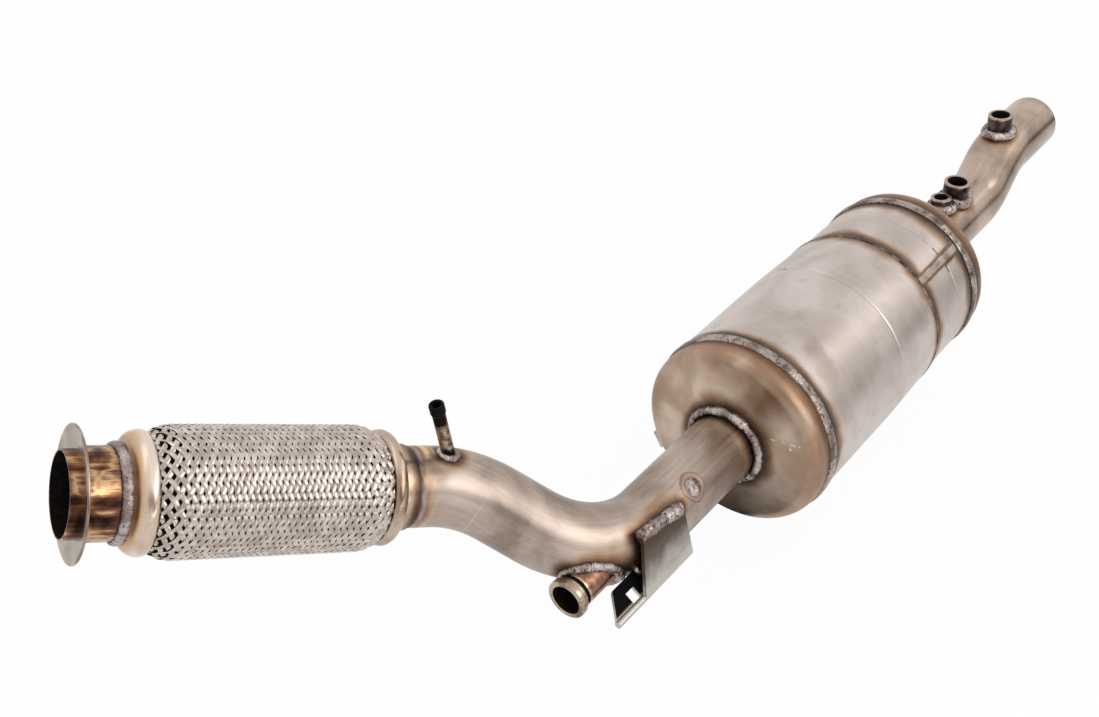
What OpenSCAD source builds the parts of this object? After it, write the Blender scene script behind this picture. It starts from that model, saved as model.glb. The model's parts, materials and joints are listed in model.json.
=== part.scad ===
/* [Inlet end] */
// Bore radius of the mouth tube
mouth_bore_r = 28; // [26:0.5:30]
// Wall of the mouth tube
mouth_wall = 1.4; // [1:0.1:2]
// Length of the mouth tube
mouth_len = 34; // [28:1:36]
// How far the mouth tube stands out of the flange ring
mouth_lead = 6.5; // [4:0.5:10]
// Outer radius of the flange ring
flange_r = 45.5; // [40:0.5:55]
// Thickness of the flange ring
flange_t = 2; // [1.5:0.1:3]
// How far the rim of the flange ring leans toward the mouth
flange_dish = 1.5; // [0.5:0.1:3]
// Wall of the collar tube round the mouth tube
collar_wall = 2; // [1.5:0.1:3]
// Length of the collar tube
collar_len = 28; // [26:1:40]
// Width of the weld ring on the collar tube
collar_weld_w = 8.4; // [6:0.2:10]
// Height of the weld ring above the collar tube
collar_weld_h = 3; // [2.4:0.1:4]

/* [Flex coupling] */
// Turn of the flex axis about the vertical, from the axis of the can
flex_yaw = -27; // [-35:0.5:-20]
// Slope of the flex axis, negative runs down from the mouth
flex_pitch = -20.5; // [-28:0.5:-14]
// Length of the flex coupling over both cup necks
flex_len = 203.5; // [180:0.5:230]
// How far the front cup's neck laps over the collar tube
cup_lap = 2; // [1:0.5:4]
// Length of the front cup's neck
front_neck_len = 7.5; // [6:0.5:12]
// Length of the rear cup's neck
rear_neck_len = 11; // [8:0.5:15]
// Radius of the cup's rolled edge in section
cup_roll_r = 6; // [5:0.5:8]
// Largest radius of a cup
cup_crest_r = 42; // [40:0.5:44]
// Sheet thickness of a cup
cup_t = 1.5; // [1:0.1:2]
// How far the rolled edge curls in past the crest
cup_curl = 65; // [50:1:75]
// Radius of the braid along its middle
braid_r = 44.4; // [43:0.2:48]
// Length over which the braid swells from the cup to its full radius
braid_swell = 18; // [12:1:30]
// Wall of the braid
braid_wall = 1.6; // [1.2:0.1:2]
// Spacing of the ridges along the braid
braid_ridge_pitch = 9; // [7:0.5:14]
// Height of a ridge on the braid
braid_ridge_h = 0.5; // [0.2:0.1:0.8]
// Number of rows of gaps along the braid
braid_gap_rows = 8; // [4:1:8]
// Number of gaps round the braid
braid_gaps_round = 14; // [8:1:15]
// Half width of a diamond gap in the braid
braid_gap_r = 3.6; // [2:0.1:5]
// Largest radius of the bellows
bellows_r = 41; // [38:0.2:41.5]
// Smallest radius of the bellows
bellows_root_r = 34.4; // [33.6:0.2:35.4]
// Number of waves in the bellows
bellows_waves = 18; // [10:1:24]
// Wall of the bellows
bellows_wall = 0.6; // [0.4:0.1:1]
// How much thinner the liner's wall is than the mouth tube's
liner_thin = 0.6; // [0.4:0.1:0.8]

/* [Inlet pipe] */
// Outer radius of the inlet pipe
pipe_r = 30; // [27:0.5:31]
// Wall of the inlet pipe
pipe_wall = 1.5; // [1.2:0.1:3]
// Length of pipe from the flex to the corner of the first bend
pipe_lead = 52.5; // [45:0.5:80]
// How far the pipe reaches into the rear cup's neck
pipe_lap = 7; // [4:0.5:9]
// Radius of the pipe's bends along its middle
bend_r = 90; // [75:1:100]
// How much thinner a pipe is drawn at its bends
bend_thin = 0.1; // [0.05:0.05:0.3]
// Turn of the middle run about the vertical
link_yaw = -66; // [-72:0.5:-60]
// Slope of the middle run
link_pitch = -28.8; // [-34:0.2:-24]
// Length of the middle run between the corners of the two bends
link_len = 122; // [112:1:150]
// Length from the corner of the second bend to the face of the can
can_lead = 175; // [160:1:220]
// How far the pipe reaches into the can past its face
pipe_in_can = 10; // [6:0.5:16]

/* [Pressure pipe] */
// Distance of the pressure pipe's foot ahead of the corner of the first bend
tap_at = 22; // [14:0.5:40]
// How far the pressure pipe leans back toward the flex
tap_lean = 28.6; // [0:0.5:35]
// Length of the pressure pipe
tap_len = 50; // [30:1:70]
// Outer radius of the pressure pipe
tap_r = 5; // [4:0.5:7]
// Bore radius of the pressure pipe
tap_bore_r = 3.5; // [2:0.5:3.5]
// Radius of the bead at the pressure pipe's end
tap_bead_r = 5.8; // [5.2:0.1:8]
// Length of the bead at the pressure pipe's end
tap_bead_len = 8; // [4:0.5:12]
// How far the foot weld spreads round the pressure pipe
tap_weld_w = 4.5; // [2:0.5:7]
// Height of the foot weld above the pipe
tap_weld_h = 4; // [2:0.5:6]

/* [Dosing port] */
// Reach of the port from the corner of the second bend to its mouth
port_reach = 44.7; // [40:0.5:60]
// Bore radius of the port
port_bore_r = 12; // [9:0.5:12.5]
// Outer radius of the port's tube
port_r = 14; // [13.5:0.5:16]
// Radius of the ring at the port's mouth
port_ring_r = 16.5; // [16:0.5:22]
// Length of the ring at the port's mouth
port_ring_len = 5.5; // [3:0.5:8]
// Radius of the second, lower step behind the ring
port_step_r = 15.2; // [14.6:0.1:15.8]
// Length of the second step
port_step_len = 3; // [1:0.5:5]
// Depth of the groove behind the steps
port_groove_depth = 0.8; // [0.4:0.1:1]
// Length of the groove
port_groove_len = 4; // [2:0.5:6]
// How far the saddle weld spreads round the port
port_weld_w = 6; // [3:0.5:8]
// Height of the saddle weld above the pipe
port_weld_h = 4; // [2:0.5:6]

/* [Bracket] */
// Sheet thickness of the bracket
bracket_t = 3; // [2:0.5:5]
// How much the rounded fold stays inside the sheet
fold_ease = 0.2; // [0.1:0.1:0.5]
// Where the near leg touches the pipe, turned from the top toward the near side
bracket_turn = 71; // [60:1:80]
// Drop of the fold below the line where the near leg touches the pipe
bracket_drop = 26.5; // [22:0.5:40]
// Slope of the far leg above the horizontal
far_leg_slope = 33; // [28:1:38]
// Start of the near leg's fold behind the corner of the second bend
near_fold_start = 3.5; // [0:0.5:10]
// Length of the near leg along the fold
near_fold_len = 63.5; // [50:0.5:80]
// Start of the near leg's top edge behind the corner of the second bend
near_top_start = 17.5; // [10:0.5:24]
// Length of the near leg's top edge
near_top_len = 52; // [40:0.5:60]
// Rise of the near leg's upstream end above the line where it touches
near_rise_start = 19; // [12:0.5:24]
// Rise of the near leg's downstream end above the line where it touches
near_rise_end = 11; // [6:0.5:18]
// How far the far leg reaches upstream of the corner of the second bend, at the fold
far_reach = 30; // [22:0.5:36]
// Slant of the far leg's upstream edge, from square
far_slant = 39; // [20:1:45]
// Width of the square hole in the far leg
slot_w = 9.5; // [6:0.5:11]
// Distance of the hole from the fold
slot_from_fold = 2.6; // [1.5:0.1:8]
// Distance of the hole upstream of the corner of the second bend
slot_back = 6; // [2:0.5:9]
// Radius of the weld bead on the near leg's top edge
bracket_bead_r = 5.5; // [4:0.5:7]
// How far the bead sinks in toward the pipe
bracket_bead_in = 1.8; // [1:0.1:3]
// Radius of a tack weld on the far leg
tack_r = 3.5; // [3:0.5:4.5]
// Place of the first tack weld behind the corner of the second bend
tack_at = 13; // [10:0.5:18]
// Spacing of the tack welds along the pipe
tack_step = 12; // [9:1:16]
// Distance of the first tack weld from the fold
tack_from_fold = 18.5; // [16:0.5:21]
// How much closer to the fold the second tack weld is
tack_draw = 3; // [2:0.5:4]

/* [Plug weld] */
// Distance of the plug weld from the corner of the second bend
plug_at = 94; // [80:1:120]
// Turn of the plug weld from the top toward the near side
plug_turn = 41; // [0:1:60]
// Radius of the plug weld
plug_r = 7; // [5:0.5:9]
// Height of the plug weld
plug_h = 2.4; // [1:0.2:3]

/* [Can] */
// Outer radius of the can
can_r = 84.2; // [83:0.2:90]
// Sheet thickness of the can
can_t = 1.5; // [1.2:0.1:2]
// How far the inlet dome's face leans back from neck to knuckle
dome_rise = 6; // [2:0.5:12]
// Radius of the dome's and the cap's knuckle
knuckle_r = 12; // [9:0.5:16]
// Length of the dome's straight skirt
dome_skirt = 8.5; // [7:0.5:16]
// Length of the main shell
shell_len = 201; // [190:1:240]
// Length of the main shell's straight part, up to its crease
shell_straight = 131; // [120:1:150]
// Length of the sleeve end of the main shell that laps the rear shell
shell_lap = 9; // [6:0.5:14]
// How much smaller the rear shell's radius is than the can's
rear_step = 3.5; // [3.2:0.1:4.7]
// Length of the rear shell past the end of the main shell
rear_len = 81; // [60:1:110]
// Length of the rear shell's straight part past the main shell, up to its crease
rear_straight = 48; // [30:1:55]
// How much the rear shell narrows behind its crease
rear_taper = 0.5; // [0.2:0.1:1]
// Length of the outlet cap's straight skirt
cap_skirt = 14; // [10:0.5:20]
// How far the outlet cap's face leans out from knuckle to neck
cap_rise = 18; // [8:0.5:26]
// Width of a rim weld
rim_weld_w = 12; // [8:0.5:14]
// Height of a rim weld
rim_weld_h = 2; // [1:0.1:3]
// How far the front rim weld sits past the dome's edge
front_rim_shift = 4; // [2:0.5:6]
// Height of the weld where main and rear shell join
joint_weld_h = 2.6; // [2.2:0.1:3]
// Width of the weld round a pipe at the dome and the cap
neck_weld_w = 11.5; // [8:0.5:14]
// Height of the weld round a pipe at the dome and the cap
neck_weld_h = 6; // [4:0.5:8]
// Turn of the rear shell's seam from the top toward the near side
seam_turn = 42; // [0:1:90]
// Width of the seam strip
seam_w = 6; // [4:0.5:10]
// Height of the seam strip
seam_h = 0.8; // [0.4:0.1:1.5]
// Turn of the lug from the top toward the far side
lug_turn = 123; // [90:1:150]
// Width of the lug
lug_w = 16; // [10:1:24]
// Height of the lug
lug_h = 9; // [6:0.5:16]
// Thickness of the lug
lug_t = 3; // [2:0.5:5]

/* [Filter] */
// Length of the filter brick
brick_len = 152.4; // [140:0.2:160]
// Distance of the brick from the start of the main shell
brick_from = 22; // [18:1:30]
// Thickness of the support mat between the brick and the shell
mat_t = 6.3; // [5:0.1:8]
// Length of the support mat
mat_len = 98; // [60:1:100]

/* [Outlet pipe] */
// Outer radius of the outlet pipe
outlet_r = 28.5; // [26:0.5:30]
// Length of the first straight run, from the cap to the corner of the joggle
outlet_lead = 140; // [130:1:180]
// Length of the joggle along the pipe
joggle_len = 52; // [46:1:70]
// Sideways step of the joggle
joggle_step = 27; // [16:0.5:30]
// Lean of the joggle's step from straight up toward the far side
joggle_lean = 11; // [0:1:20]
// Radius of the joggle's bends along the pipe's middle
joggle_r = 72; // [50:1:75]
// Length of the last straight run, from the corner of the joggle to the end
outlet_end = 90; // [70:1:140]
// Length of pipe that reaches into the outlet cap
outlet_lap = 8; // [5:0.5:12]

/* [Sensor bosses] */
// Outer radius of the sensor boss
sensor_boss_r = 12.8; // [11.5:0.1:13]
// Outer radius of the end boss
end_boss_r = 12.5; // [11.5:0.5:15]
// Outer radius of the small boss
small_boss_r = 10.2; // [8:0.2:10.4]
// Thread radius of the sensor boss and the end boss
boss_thread_r = 8.5; // [7:0.5:9]
// Thread radius of the small boss
small_thread_r = 5.7; // [4:0.1:6]
// Height of the sensor boss's top above the pipe
sensor_boss_h = 20.5; // [14:0.5:30]
// Height of the end boss's top above the pipe
end_boss_h = 17.5; // [12:0.5:30]
// Height of the small boss's top above the pipe
small_boss_h = 12.5; // [8:0.5:20]
// Distance of the sensor boss from the cap
sensor_boss_at = 77.6; // [60:0.2:100]
// Spacing of the small boss from the sensor boss
small_boss_gap = 24; // [24:0.5:34]
// Distance of the end boss behind the corner of the joggle
end_boss_at = 0; // [-4:0.5:40]
// Lean of the sensor boss toward the far side
sensor_boss_lean = 1; // [-15:1:15]
// Lean of the end boss toward the far side
end_boss_lean = 6; // [-15:1:20]
// Lean of the small boss toward the far side
small_boss_lean = 8; // [-15:1:15]
// How much wider the hole in the pipe is than a boss's thread
boss_hole_more = 0.6; // [0.4:0.1:1.2]
// How far a boss weld spreads round its boss
boss_weld_w = 3.4; // [1.5:0.1:3.4]
// Height of a boss weld above the pipe
boss_weld_h = 3; // [1.5:0.1:5]

/* [Fits] */
// Clearance between pieces that seat on each other
fit_gap = 0.1; // [0.05:0.05:0.3]

/* [Hidden] */
$fn = 64;
arc_steps = 8;
cut_more = 1;
// How far a straight run reaches into its bend
bend_lap = 1;
up = [0, 0, 1];
can_dir = [1, 0, 0];

function unit(v) = v / norm(v);
function heading(yaw, pitch) = [cos(pitch) * cos(yaw), cos(pitch) * sin(yaw), sin(pitch)];
function turn_between(a, b) = acos(a * b);
function bend_tangent(a, b, radius) = radius * tan(turn_between(a, b) / 2);

// Section outlines are lists of [radius, height] points, and the wall lies to the left of the path
function left_of(v) = [-v.y, v.x];
function side_normal(path, i) = left_of(unit(path[i + 1] - path[i]));
function inset_point(path, i, t) =
    let (a = side_normal(path, max(i - 1, 0)))
    let (b = side_normal(path, min(i, len(path) - 2)))
    path[i] + (a + b) * t / (1 + a * b);
function wall(path, t) =
    concat(path, [for (i = [len(path) - 1:-1:0]) inset_point(path, i, t)]);
function arc(centre, radius, from, to) =
    [for (k = [0:arc_steps])
        let (a = from + (to - from) * k / arc_steps)
        centre + radius * [cos(a), sin(a)]];

// Stations along the flex axis, from the mouth
collar_r = mouth_bore_r + mouth_wall + fit_gap + collar_wall;
flange_z = mouth_lead + flange_dish;
collar_z = flange_z + flange_t;
collar_end = collar_z + collar_len;
flex_start = collar_end - cup_lap;
flex_end = flex_start + flex_len;
front_roll_z = flex_start + front_neck_len + cup_roll_r;
rear_roll_z = flex_end - rear_neck_len - cup_roll_r;
roll_r = cup_crest_r - cup_roll_r;
front_neck_r = collar_r + fit_gap + cup_t;
rear_neck_r = pipe_r + fit_gap + cup_t;
pipe_start = flex_end - pipe_lap;

// The braid's end slips under the cup's curled lip
lip_r = roll_r + (cup_roll_r - cup_t) * cos(cup_curl);
lip_z = (cup_roll_r - cup_t) * sin(cup_curl);
braid_end_r = lip_r - 2 * fit_gap - braid_ridge_h;
braid_tuck = cup_roll_r / 2;
braid_from = front_roll_z - braid_tuck;
braid_to = rear_roll_z + braid_tuck;
swell_from = front_roll_z + lip_z;
swell_to = rear_roll_z - lip_z;

// Places of the bends and of the can
flex_dir = heading(flex_yaw, flex_pitch);
link_dir = heading(link_yaw, link_pitch);
bend_a = flex_dir * (flex_end + pipe_lead);
bend_b = bend_a + link_dir * link_len;
tan_a = bend_tangent(flex_dir, link_dir, bend_r);
tan_b = bend_tangent(link_dir, can_dir, bend_r);
can_y = bend_b.y;
can_z = bend_b.z;
can_x = bend_b.x + can_lead;
pipe_reach = can_x + pipe_in_can;
pipe_in_r = pipe_r - pipe_wall;

// Stations along the can, from its face
dome_end = dome_rise + knuckle_r + dome_skirt;
shell_start = dome_end + fit_gap;
shell_end = shell_start + shell_len;
rear_r = can_r - rear_step;
sleeve_r = rear_r + fit_gap + can_t;
rear_start = shell_end - shell_lap;
rear_end = shell_end + rear_len;
rear_end_r = rear_r - rear_taper;
cap_start = rear_end + fit_gap;
cap_knuckle_z = cap_start + cap_skirt;
cap_face = cap_knuckle_z + knuckle_r;
cap_end = cap_face + cap_rise;
mat_from = shell_start + shell_straight - mat_len - cut_more;
mat_r = can_r - can_t - fit_gap;
brick_r = mat_r - mat_t - fit_gap;

// Path of the outlet pipe
outlet_start = can_x + cap_end - outlet_lap;
joggle_a = [can_x + cap_end + outlet_lead, can_y, can_z];
joggle_up = [0, sin(joggle_lean), cos(joggle_lean)];
joggle_b = joggle_a + can_dir * joggle_len + joggle_up * joggle_step;
joggle_dir = unit(joggle_b - joggle_a);
joggle_lead = bend_tangent(can_dir, joggle_dir, joggle_r) - bend_lap;
outlet_tip = joggle_b + can_dir * outlet_end;
outlet_in_r = outlet_r - pipe_wall;

// Pressure pipe
flex_up = unit(up - (up * flex_dir) * flex_dir);
tap_dir = flex_up * cos(tap_lean) - flex_dir * sin(tap_lean);
tap_foot = bend_a - flex_dir * tap_at + flex_up * pipe_r;

// Dosing port
port_mouth = [bend_b.x - port_reach, can_y, can_z];
port_inside = [bend_b.x + port_r, can_y, can_z];

// Bracket, in the frame of the can's axis at the corner of the second bend
near_out = [0, -sin(bracket_turn), cos(bracket_turn)];
near_up = [0, cos(bracket_turn), sin(bracket_turn)];
far_back = [0, cos(far_leg_slope), sin(far_leg_slope)];
far_out = [0, -sin(far_leg_slope), cos(far_leg_slope)];
near_face = pipe_r + 2 * fit_gap;
fold = bend_b + near_out * near_face - near_up * bracket_drop;
far_len = pipe_r + bracket_drop / 2;

// Places a shape drawn along +Z on the axis of the flex
module on_flex() {
    rotate([0, 90 - flex_pitch, flex_yaw])
        children();
}

// Places a shape drawn along +Z on the axis of the can, from the can's face
module on_can() {
    translate([can_x, can_y, can_z])
        rotate([0, 90, 0])
            children();
}

// Revolved sheet metal: a path of [radius, height] points with a wall
module revolved(path, t) {
    rotate_extrude()
        polygon(wall(path, t));
}

// Round rod from one point to another
module rod(from, to, radius) {
    d = to - from;
    translate(from)
        rotate([0, acos(d.z / norm(d)), atan2(d.y, d.x)])
            cylinder(h = norm(d), r = radius);
}

// Weld bead with round ends from one point to another
module bead(from, to, radius) {
    d = to - from;
    translate(from)
        rotate([0, acos(d.z / norm(d)), atan2(d.y, d.x)])
            rotate_extrude()
                polygon(concat(arc([0, 0], radius, -90, 0), arc([0, norm(d)], radius, 0, 90)));
}

// Round bend at a corner between two directions
module bend(corner, dir_in, dir_out, middle_r, radius) {
    inward = unit(dir_out - (dir_in * dir_out) * dir_in);
    start = corner - dir_in * bend_tangent(dir_in, dir_out, middle_r);
    centre = start + inward * middle_r;
    x = -inward;
    y = dir_in;
    z = cross(x, y);
    multmatrix([[x.x, y.x, z.x, centre.x], [x.y, y.y, z.y, centre.y], [x.z, y.z, z.z, centre.z]])
        rotate_extrude(angle = turn_between(dir_in, dir_out))
            translate([middle_r, 0])
                circle(r = radius - bend_thin);
}

// The inlet pipe's path as a solid rod
module inlet_run(radius, more = 0) {
    rod(flex_dir * (pipe_start - more), bend_a - flex_dir * (tan_a - bend_lap), radius);
    bend(bend_a, flex_dir, link_dir, bend_r, radius);
    rod(bend_a + link_dir * (tan_a - bend_lap), bend_b - link_dir * (tan_b - bend_lap), radius);
    bend(bend_b, link_dir, can_dir, bend_r, radius);
    rod(bend_b + can_dir * (tan_b - bend_lap), [pipe_reach + more, can_y, can_z], radius);
}

// The outlet pipe's path as a solid rod
module outlet_run(radius, more = 0) {
    rod([outlet_start - more, can_y, can_z], joggle_a - can_dir * joggle_lead, radius);
    bend(joggle_a, can_dir, joggle_dir, joggle_r, radius);
    rod(joggle_a + joggle_dir * joggle_lead, joggle_b - joggle_dir * joggle_lead, radius);
    bend(joggle_b, joggle_dir, can_dir, joggle_r, radius);
    rod(joggle_b + can_dir * joggle_lead, outlet_tip + can_dir * more, radius);
}

// Half-round weld ring on a round seat, drawn along +Z
module ring_bead(z, seat_r, width, height) {
    round_r = (width * width / 4 + height * height) / (2 * height);
    rotate_extrude()
        difference() {
            translate([seat_r + height - round_r, z])
                circle(r = round_r);
            translate([0, z - round_r - cut_more])
                square([seat_r, 2 * round_r + 2 * cut_more]);
        }
}

module mouth_tube() {
    color("dimgray")
        on_flex()
            difference() {
                cylinder(h = mouth_len, r = mouth_bore_r + mouth_wall);
                translate([0, 0, -cut_more])
                    cylinder(h = mouth_len + 2 * cut_more, r = mouth_bore_r);
            }
}

module flange_ring() {
    inner_r = mouth_bore_r + mouth_wall + fit_gap;
    color("tan")
        on_flex()
            revolved([[inner_r, flange_z], [collar_r, flange_z], [flange_r, mouth_lead]], flange_t);
}

module collar_tube() {
    color("peru")
        on_flex()
            translate([0, 0, collar_z + fit_gap])
                difference() {
                    cylinder(h = collar_len - fit_gap, r = collar_r);
                    translate([0, 0, -cut_more])
                        cylinder(h = collar_len + cut_more, r = collar_r - collar_wall);
                }
}

module collar_weld() {
    color("silver")
        on_flex()
            difference() {
                ring_bead(flex_start, collar_r + fit_gap, collar_weld_w, collar_weld_h);
                translate([0, 0, flex_start - fit_gap])
                    cylinder(h = collar_weld_w, r = front_neck_r + fit_gap);
            }
}

module front_cup() {
    web_z = front_roll_z - cup_roll_r;
    color("tan")
        on_flex()
            revolved(concat([[front_neck_r, flex_start], [front_neck_r, web_z]],
                arc([roll_r, front_roll_z], cup_roll_r, -90, cup_curl)), cup_t);
}

module rear_cup() {
    web_z = rear_roll_z + cup_roll_r;
    color("tan")
        on_flex()
            revolved(concat(arc([roll_r, rear_roll_z], cup_roll_r, -cup_curl, 90),
                [[rear_neck_r, web_z], [rear_neck_r, flex_end]]), cup_t);
}

// Radius of the braid at a height along the flex, swelling from both cups
function swell(u) = sin(90 * max(0, min(1, u)));
function braid_radius(z) =
    braid_end_r + (braid_r - braid_end_r)
        * min(swell((z - swell_from) / braid_swell), swell((swell_to - z) / braid_swell));

module flex_braid() {
    half_pitches = 2 * round((braid_to - braid_from) / braid_ridge_pitch);
    step = (braid_to - braid_from) / half_pitches;
    outline = [for (k = [0:half_pitches])
        let (z = braid_from + k * step)
        [braid_radius(z) + braid_ridge_h * (k % 2), z]];
    gap_step = (swell_to - swell_from - braid_swell) / braid_gap_rows;
    gap_turn = 360 / braid_gaps_round;
    color("gray")
        on_flex()
            difference() {
                revolved(outline, braid_wall);
                for (row = [0:braid_gap_rows - 1], k = [0:braid_gaps_round - 1])
                    translate([0, 0, swell_from + braid_swell / 2 + (row + 0.5) * gap_step])
                        rotate([0, 90, (k + 0.5 * (row % 2)) * gap_turn])
                            translate([0, 0, bellows_r])
                                cylinder(h = braid_r, r = braid_gap_r, $fn = 4);
            }
}

module flex_bellows() {
    cuff = swell_from + braid_swell / 2;
    wave = (swell_to - braid_swell / 2 - cuff) / bellows_waves;
    start = front_roll_z - cup_roll_r + cup_t + fit_gap;
    end = rear_roll_z + cup_roll_r - cup_t - fit_gap;
    outline = concat([[bellows_root_r, start], [bellows_root_r, cuff]],
        [for (k = [0:bellows_waves - 1], s = [0:1])
            [s == 0 ? bellows_r : bellows_root_r, cuff + (k + 0.5 + s / 2) * wave]],
        [[bellows_root_r, end]]);
    color("gainsboro")
        on_flex()
            revolved(outline, bellows_wall);
}

module flex_liner() {
    start = mouth_len + fit_gap;
    len = pipe_start - fit_gap - start;
    color("slategray")
        on_flex()
            translate([0, 0, start])
                difference() {
                    cylinder(h = len, r = mouth_bore_r + mouth_wall);
                    translate([0, 0, -cut_more])
                        cylinder(h = len + 2 * cut_more, r = mouth_bore_r + liner_thin);
                }
}

module inlet_pipe() {
    color("rosybrown")
        difference() {
            inlet_run(pipe_r);
            inlet_run(pipe_in_r, cut_more);
            rod(port_mouth, port_inside, port_bore_r);
            rod(tap_foot - tap_dir * tap_r, tap_foot + tap_dir * tap_r, tap_bore_r);
        }
}

module tap_tube() {
    bead_start = tap_len - tap_bead_len;
    color("dimgray")
        difference() {
            union() {
                rod(tap_foot - tap_dir * tap_r, tap_foot + tap_dir * tap_len, tap_r);
                rod(tap_foot + tap_dir * bead_start, tap_foot + tap_dir * tap_len, tap_bead_r);
            }
            rod(tap_foot - tap_dir * 2 * tap_r, tap_foot + tap_dir * (tap_len + cut_more), tap_bore_r);
            inlet_run(pipe_r + fit_gap);
        }
}

module tap_weld() {
    reach = tap_r + tap_weld_w;
    color("silver")
        difference() {
            intersection() {
                inlet_run(pipe_r + tap_weld_h);
                rod(tap_foot - tap_dir * reach, tap_foot + tap_dir * 2 * reach, reach);
            }
            inlet_run(pipe_r + fit_gap);
            rod(tap_foot - tap_dir * 2 * reach, tap_foot + tap_dir * 3 * reach, tap_r + fit_gap);
        }
}

// Turned in one piece: mouth ring, lower step, groove and tube, cut to the pipe
module dosing_port() {
    step_x = port_ring_len + port_step_len;
    groove_r = port_r - port_groove_depth;
    color("sandybrown")
        difference() {
            union() {
                rod(port_mouth, port_mouth + can_dir * port_ring_len, port_ring_r);
                rod(port_mouth, port_mouth + can_dir * step_x, port_step_r);
                rod(port_mouth, port_inside, groove_r);
                rod(port_mouth + can_dir * (step_x + port_groove_len), port_inside, port_r);
            }
            rod(port_mouth - can_dir * cut_more, port_inside + can_dir * cut_more, port_bore_r);
            inlet_run(pipe_r + fit_gap);
        }
}

module port_weld() {
    behind_groove = port_mouth + can_dir * (port_ring_len + port_step_len + port_groove_len);
    color("silver")
        difference() {
            intersection() {
                inlet_run(pipe_r + port_weld_h);
                rod(behind_groove, port_inside, port_r + port_weld_w);
            }
            inlet_run(pipe_r + fit_gap);
            rod(port_mouth, port_inside + can_dir * cut_more, port_r + fit_gap);
        }
}

// Flat sheet with its outline in the plane of two directions at a point
module sheet(at, along, across, out, t, outline) {
    multmatrix([[along.x, across.x, out.x, at.x], [along.y, across.y, out.y, at.y],
            [along.z, across.z, out.z, at.z]])
        linear_extrude(height = t)
            polygon(outline);
}

module bracket_near_leg() {
    near_top = bracket_drop + near_rise_start;
    sheet(fold, can_dir, near_up, near_out, bracket_t,
        [[near_fold_start, 0], [near_fold_start + near_fold_len, 0],
            [near_top_start + near_top_len, bracket_drop + near_rise_end], [near_top_start, near_top]]);
}

module bracket_far_leg() {
    far_end = near_fold_start + near_fold_len;
    difference() {
        sheet(fold - far_out * bracket_t, can_dir, far_back, far_out, bracket_t,
            [[-far_reach, 0], [far_end, 0], [far_end, far_len],
                [far_len * tan(far_slant) - far_reach, far_len]]);
        sheet(fold - far_out * 2 * bracket_t, can_dir, far_back, far_out, 3 * bracket_t,
            [[-slot_back, slot_from_fold], [slot_w - slot_back, slot_from_fold],
                [slot_w - slot_back, slot_from_fold + slot_w], [-slot_back, slot_from_fold + slot_w]]);
    }
}

module bracket_body() {
    bracket_near_leg();
    bracket_far_leg();
    rod(fold - can_dir * (far_reach - fold_ease),
        fold + can_dir * (near_fold_start + near_fold_len - fold_ease), bracket_t - fold_ease);
}

module bracket() {
    color("darkgray")
        difference() {
            bracket_body();
            inlet_run(pipe_r + fit_gap);
            rod(port_mouth, port_inside, port_r + port_weld_w + fit_gap);
        }
}

module bracket_weld() {
    top_line = fold + near_out * bracket_t / 2 + near_up * bracket_drop;
    start = top_line + can_dir * near_top_start + near_up * near_rise_start;
    end = top_line + can_dir * (near_top_start + near_top_len) + near_up * near_rise_end;
    inward = (near_up - near_out) * bracket_bead_in;
    color("silver")
        difference() {
            bead(start + inward, end + inward, bracket_bead_r);
            inlet_run(pipe_r + fit_gap);
            bracket_body();
        }
}

module tack(at) {
    bead(at, at + can_dir * tack_r, tack_r);
}

module bracket_tacks() {
    color("silver")
        difference() {
            for (k = [0:1])
                tack(fold + can_dir * (tack_at + k * tack_step) + far_out * bracket_t / 2
                    + far_back * (tack_from_fold - k * tack_draw));
            inlet_run(pipe_r + fit_gap, $fn = 240);
            bracket_body();
            rod(port_mouth, port_inside, port_r + port_weld_w + fit_gap);
        }
}

module plug_weld() {
    round_r = (plug_r * plug_r + plug_h * plug_h) / (2 * plug_h);
    out = [0, -sin(plug_turn), cos(plug_turn)];
    color("silver")
        difference() {
            translate(bend_b + can_dir * plug_at + out * (pipe_r + plug_h - round_r))
                sphere(r = round_r);
            inlet_run(pipe_r + fit_gap);
        }
}

// Radius of the neck hole in a leaning face, so that its inner edge clears the pipe
function neck_r(inner_r, rise, outer_r) =
    inner_r + fit_gap + can_t * rise / norm([rise, outer_r - inner_r]);

function dome_path() =
    concat([[neck_r(pipe_r, dome_rise, can_r - knuckle_r), 0]],
        arc([can_r - knuckle_r, dome_rise + knuckle_r], knuckle_r, -90, 0),
        [[can_r, dome_end]]);

function cap_path() =
    concat([[rear_end_r, cap_start]],
        arc([rear_end_r - knuckle_r, cap_knuckle_z], knuckle_r, 0, 90),
        [[neck_r(outlet_r, cap_rise, rear_end_r - knuckle_r), cap_end]]);

module neck_weld() {
    color("silver")
        on_can()
            rotate_extrude()
                difference() {
                    translate([pipe_r + neck_weld_w / 2, 0])
                        circle(r = neck_weld_w / 2);
                    translate([0, -neck_weld_w])
                        square([pipe_r + fit_gap, 2 * neck_weld_w]);
                    polygon(concat([for (p = dome_path()) p - [0, fit_gap]],
                        [[0, dome_end], [0, -fit_gap]]));
                }
}

module inlet_dome() {
    color("rosybrown")
        on_can()
            revolved(dome_path(), can_t);
}

module front_rim_weld() {
    color("silver")
        on_can()
            ring_bead(shell_start + front_rim_shift, can_r + fit_gap, rim_weld_w, rim_weld_h);
}

module main_shell() {
    color("silver")
        on_can()
            revolved([[can_r, shell_start], [can_r, shell_start + shell_straight],
                [sleeve_r, rear_start], [sleeve_r, shell_end]], can_t);
}

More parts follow.
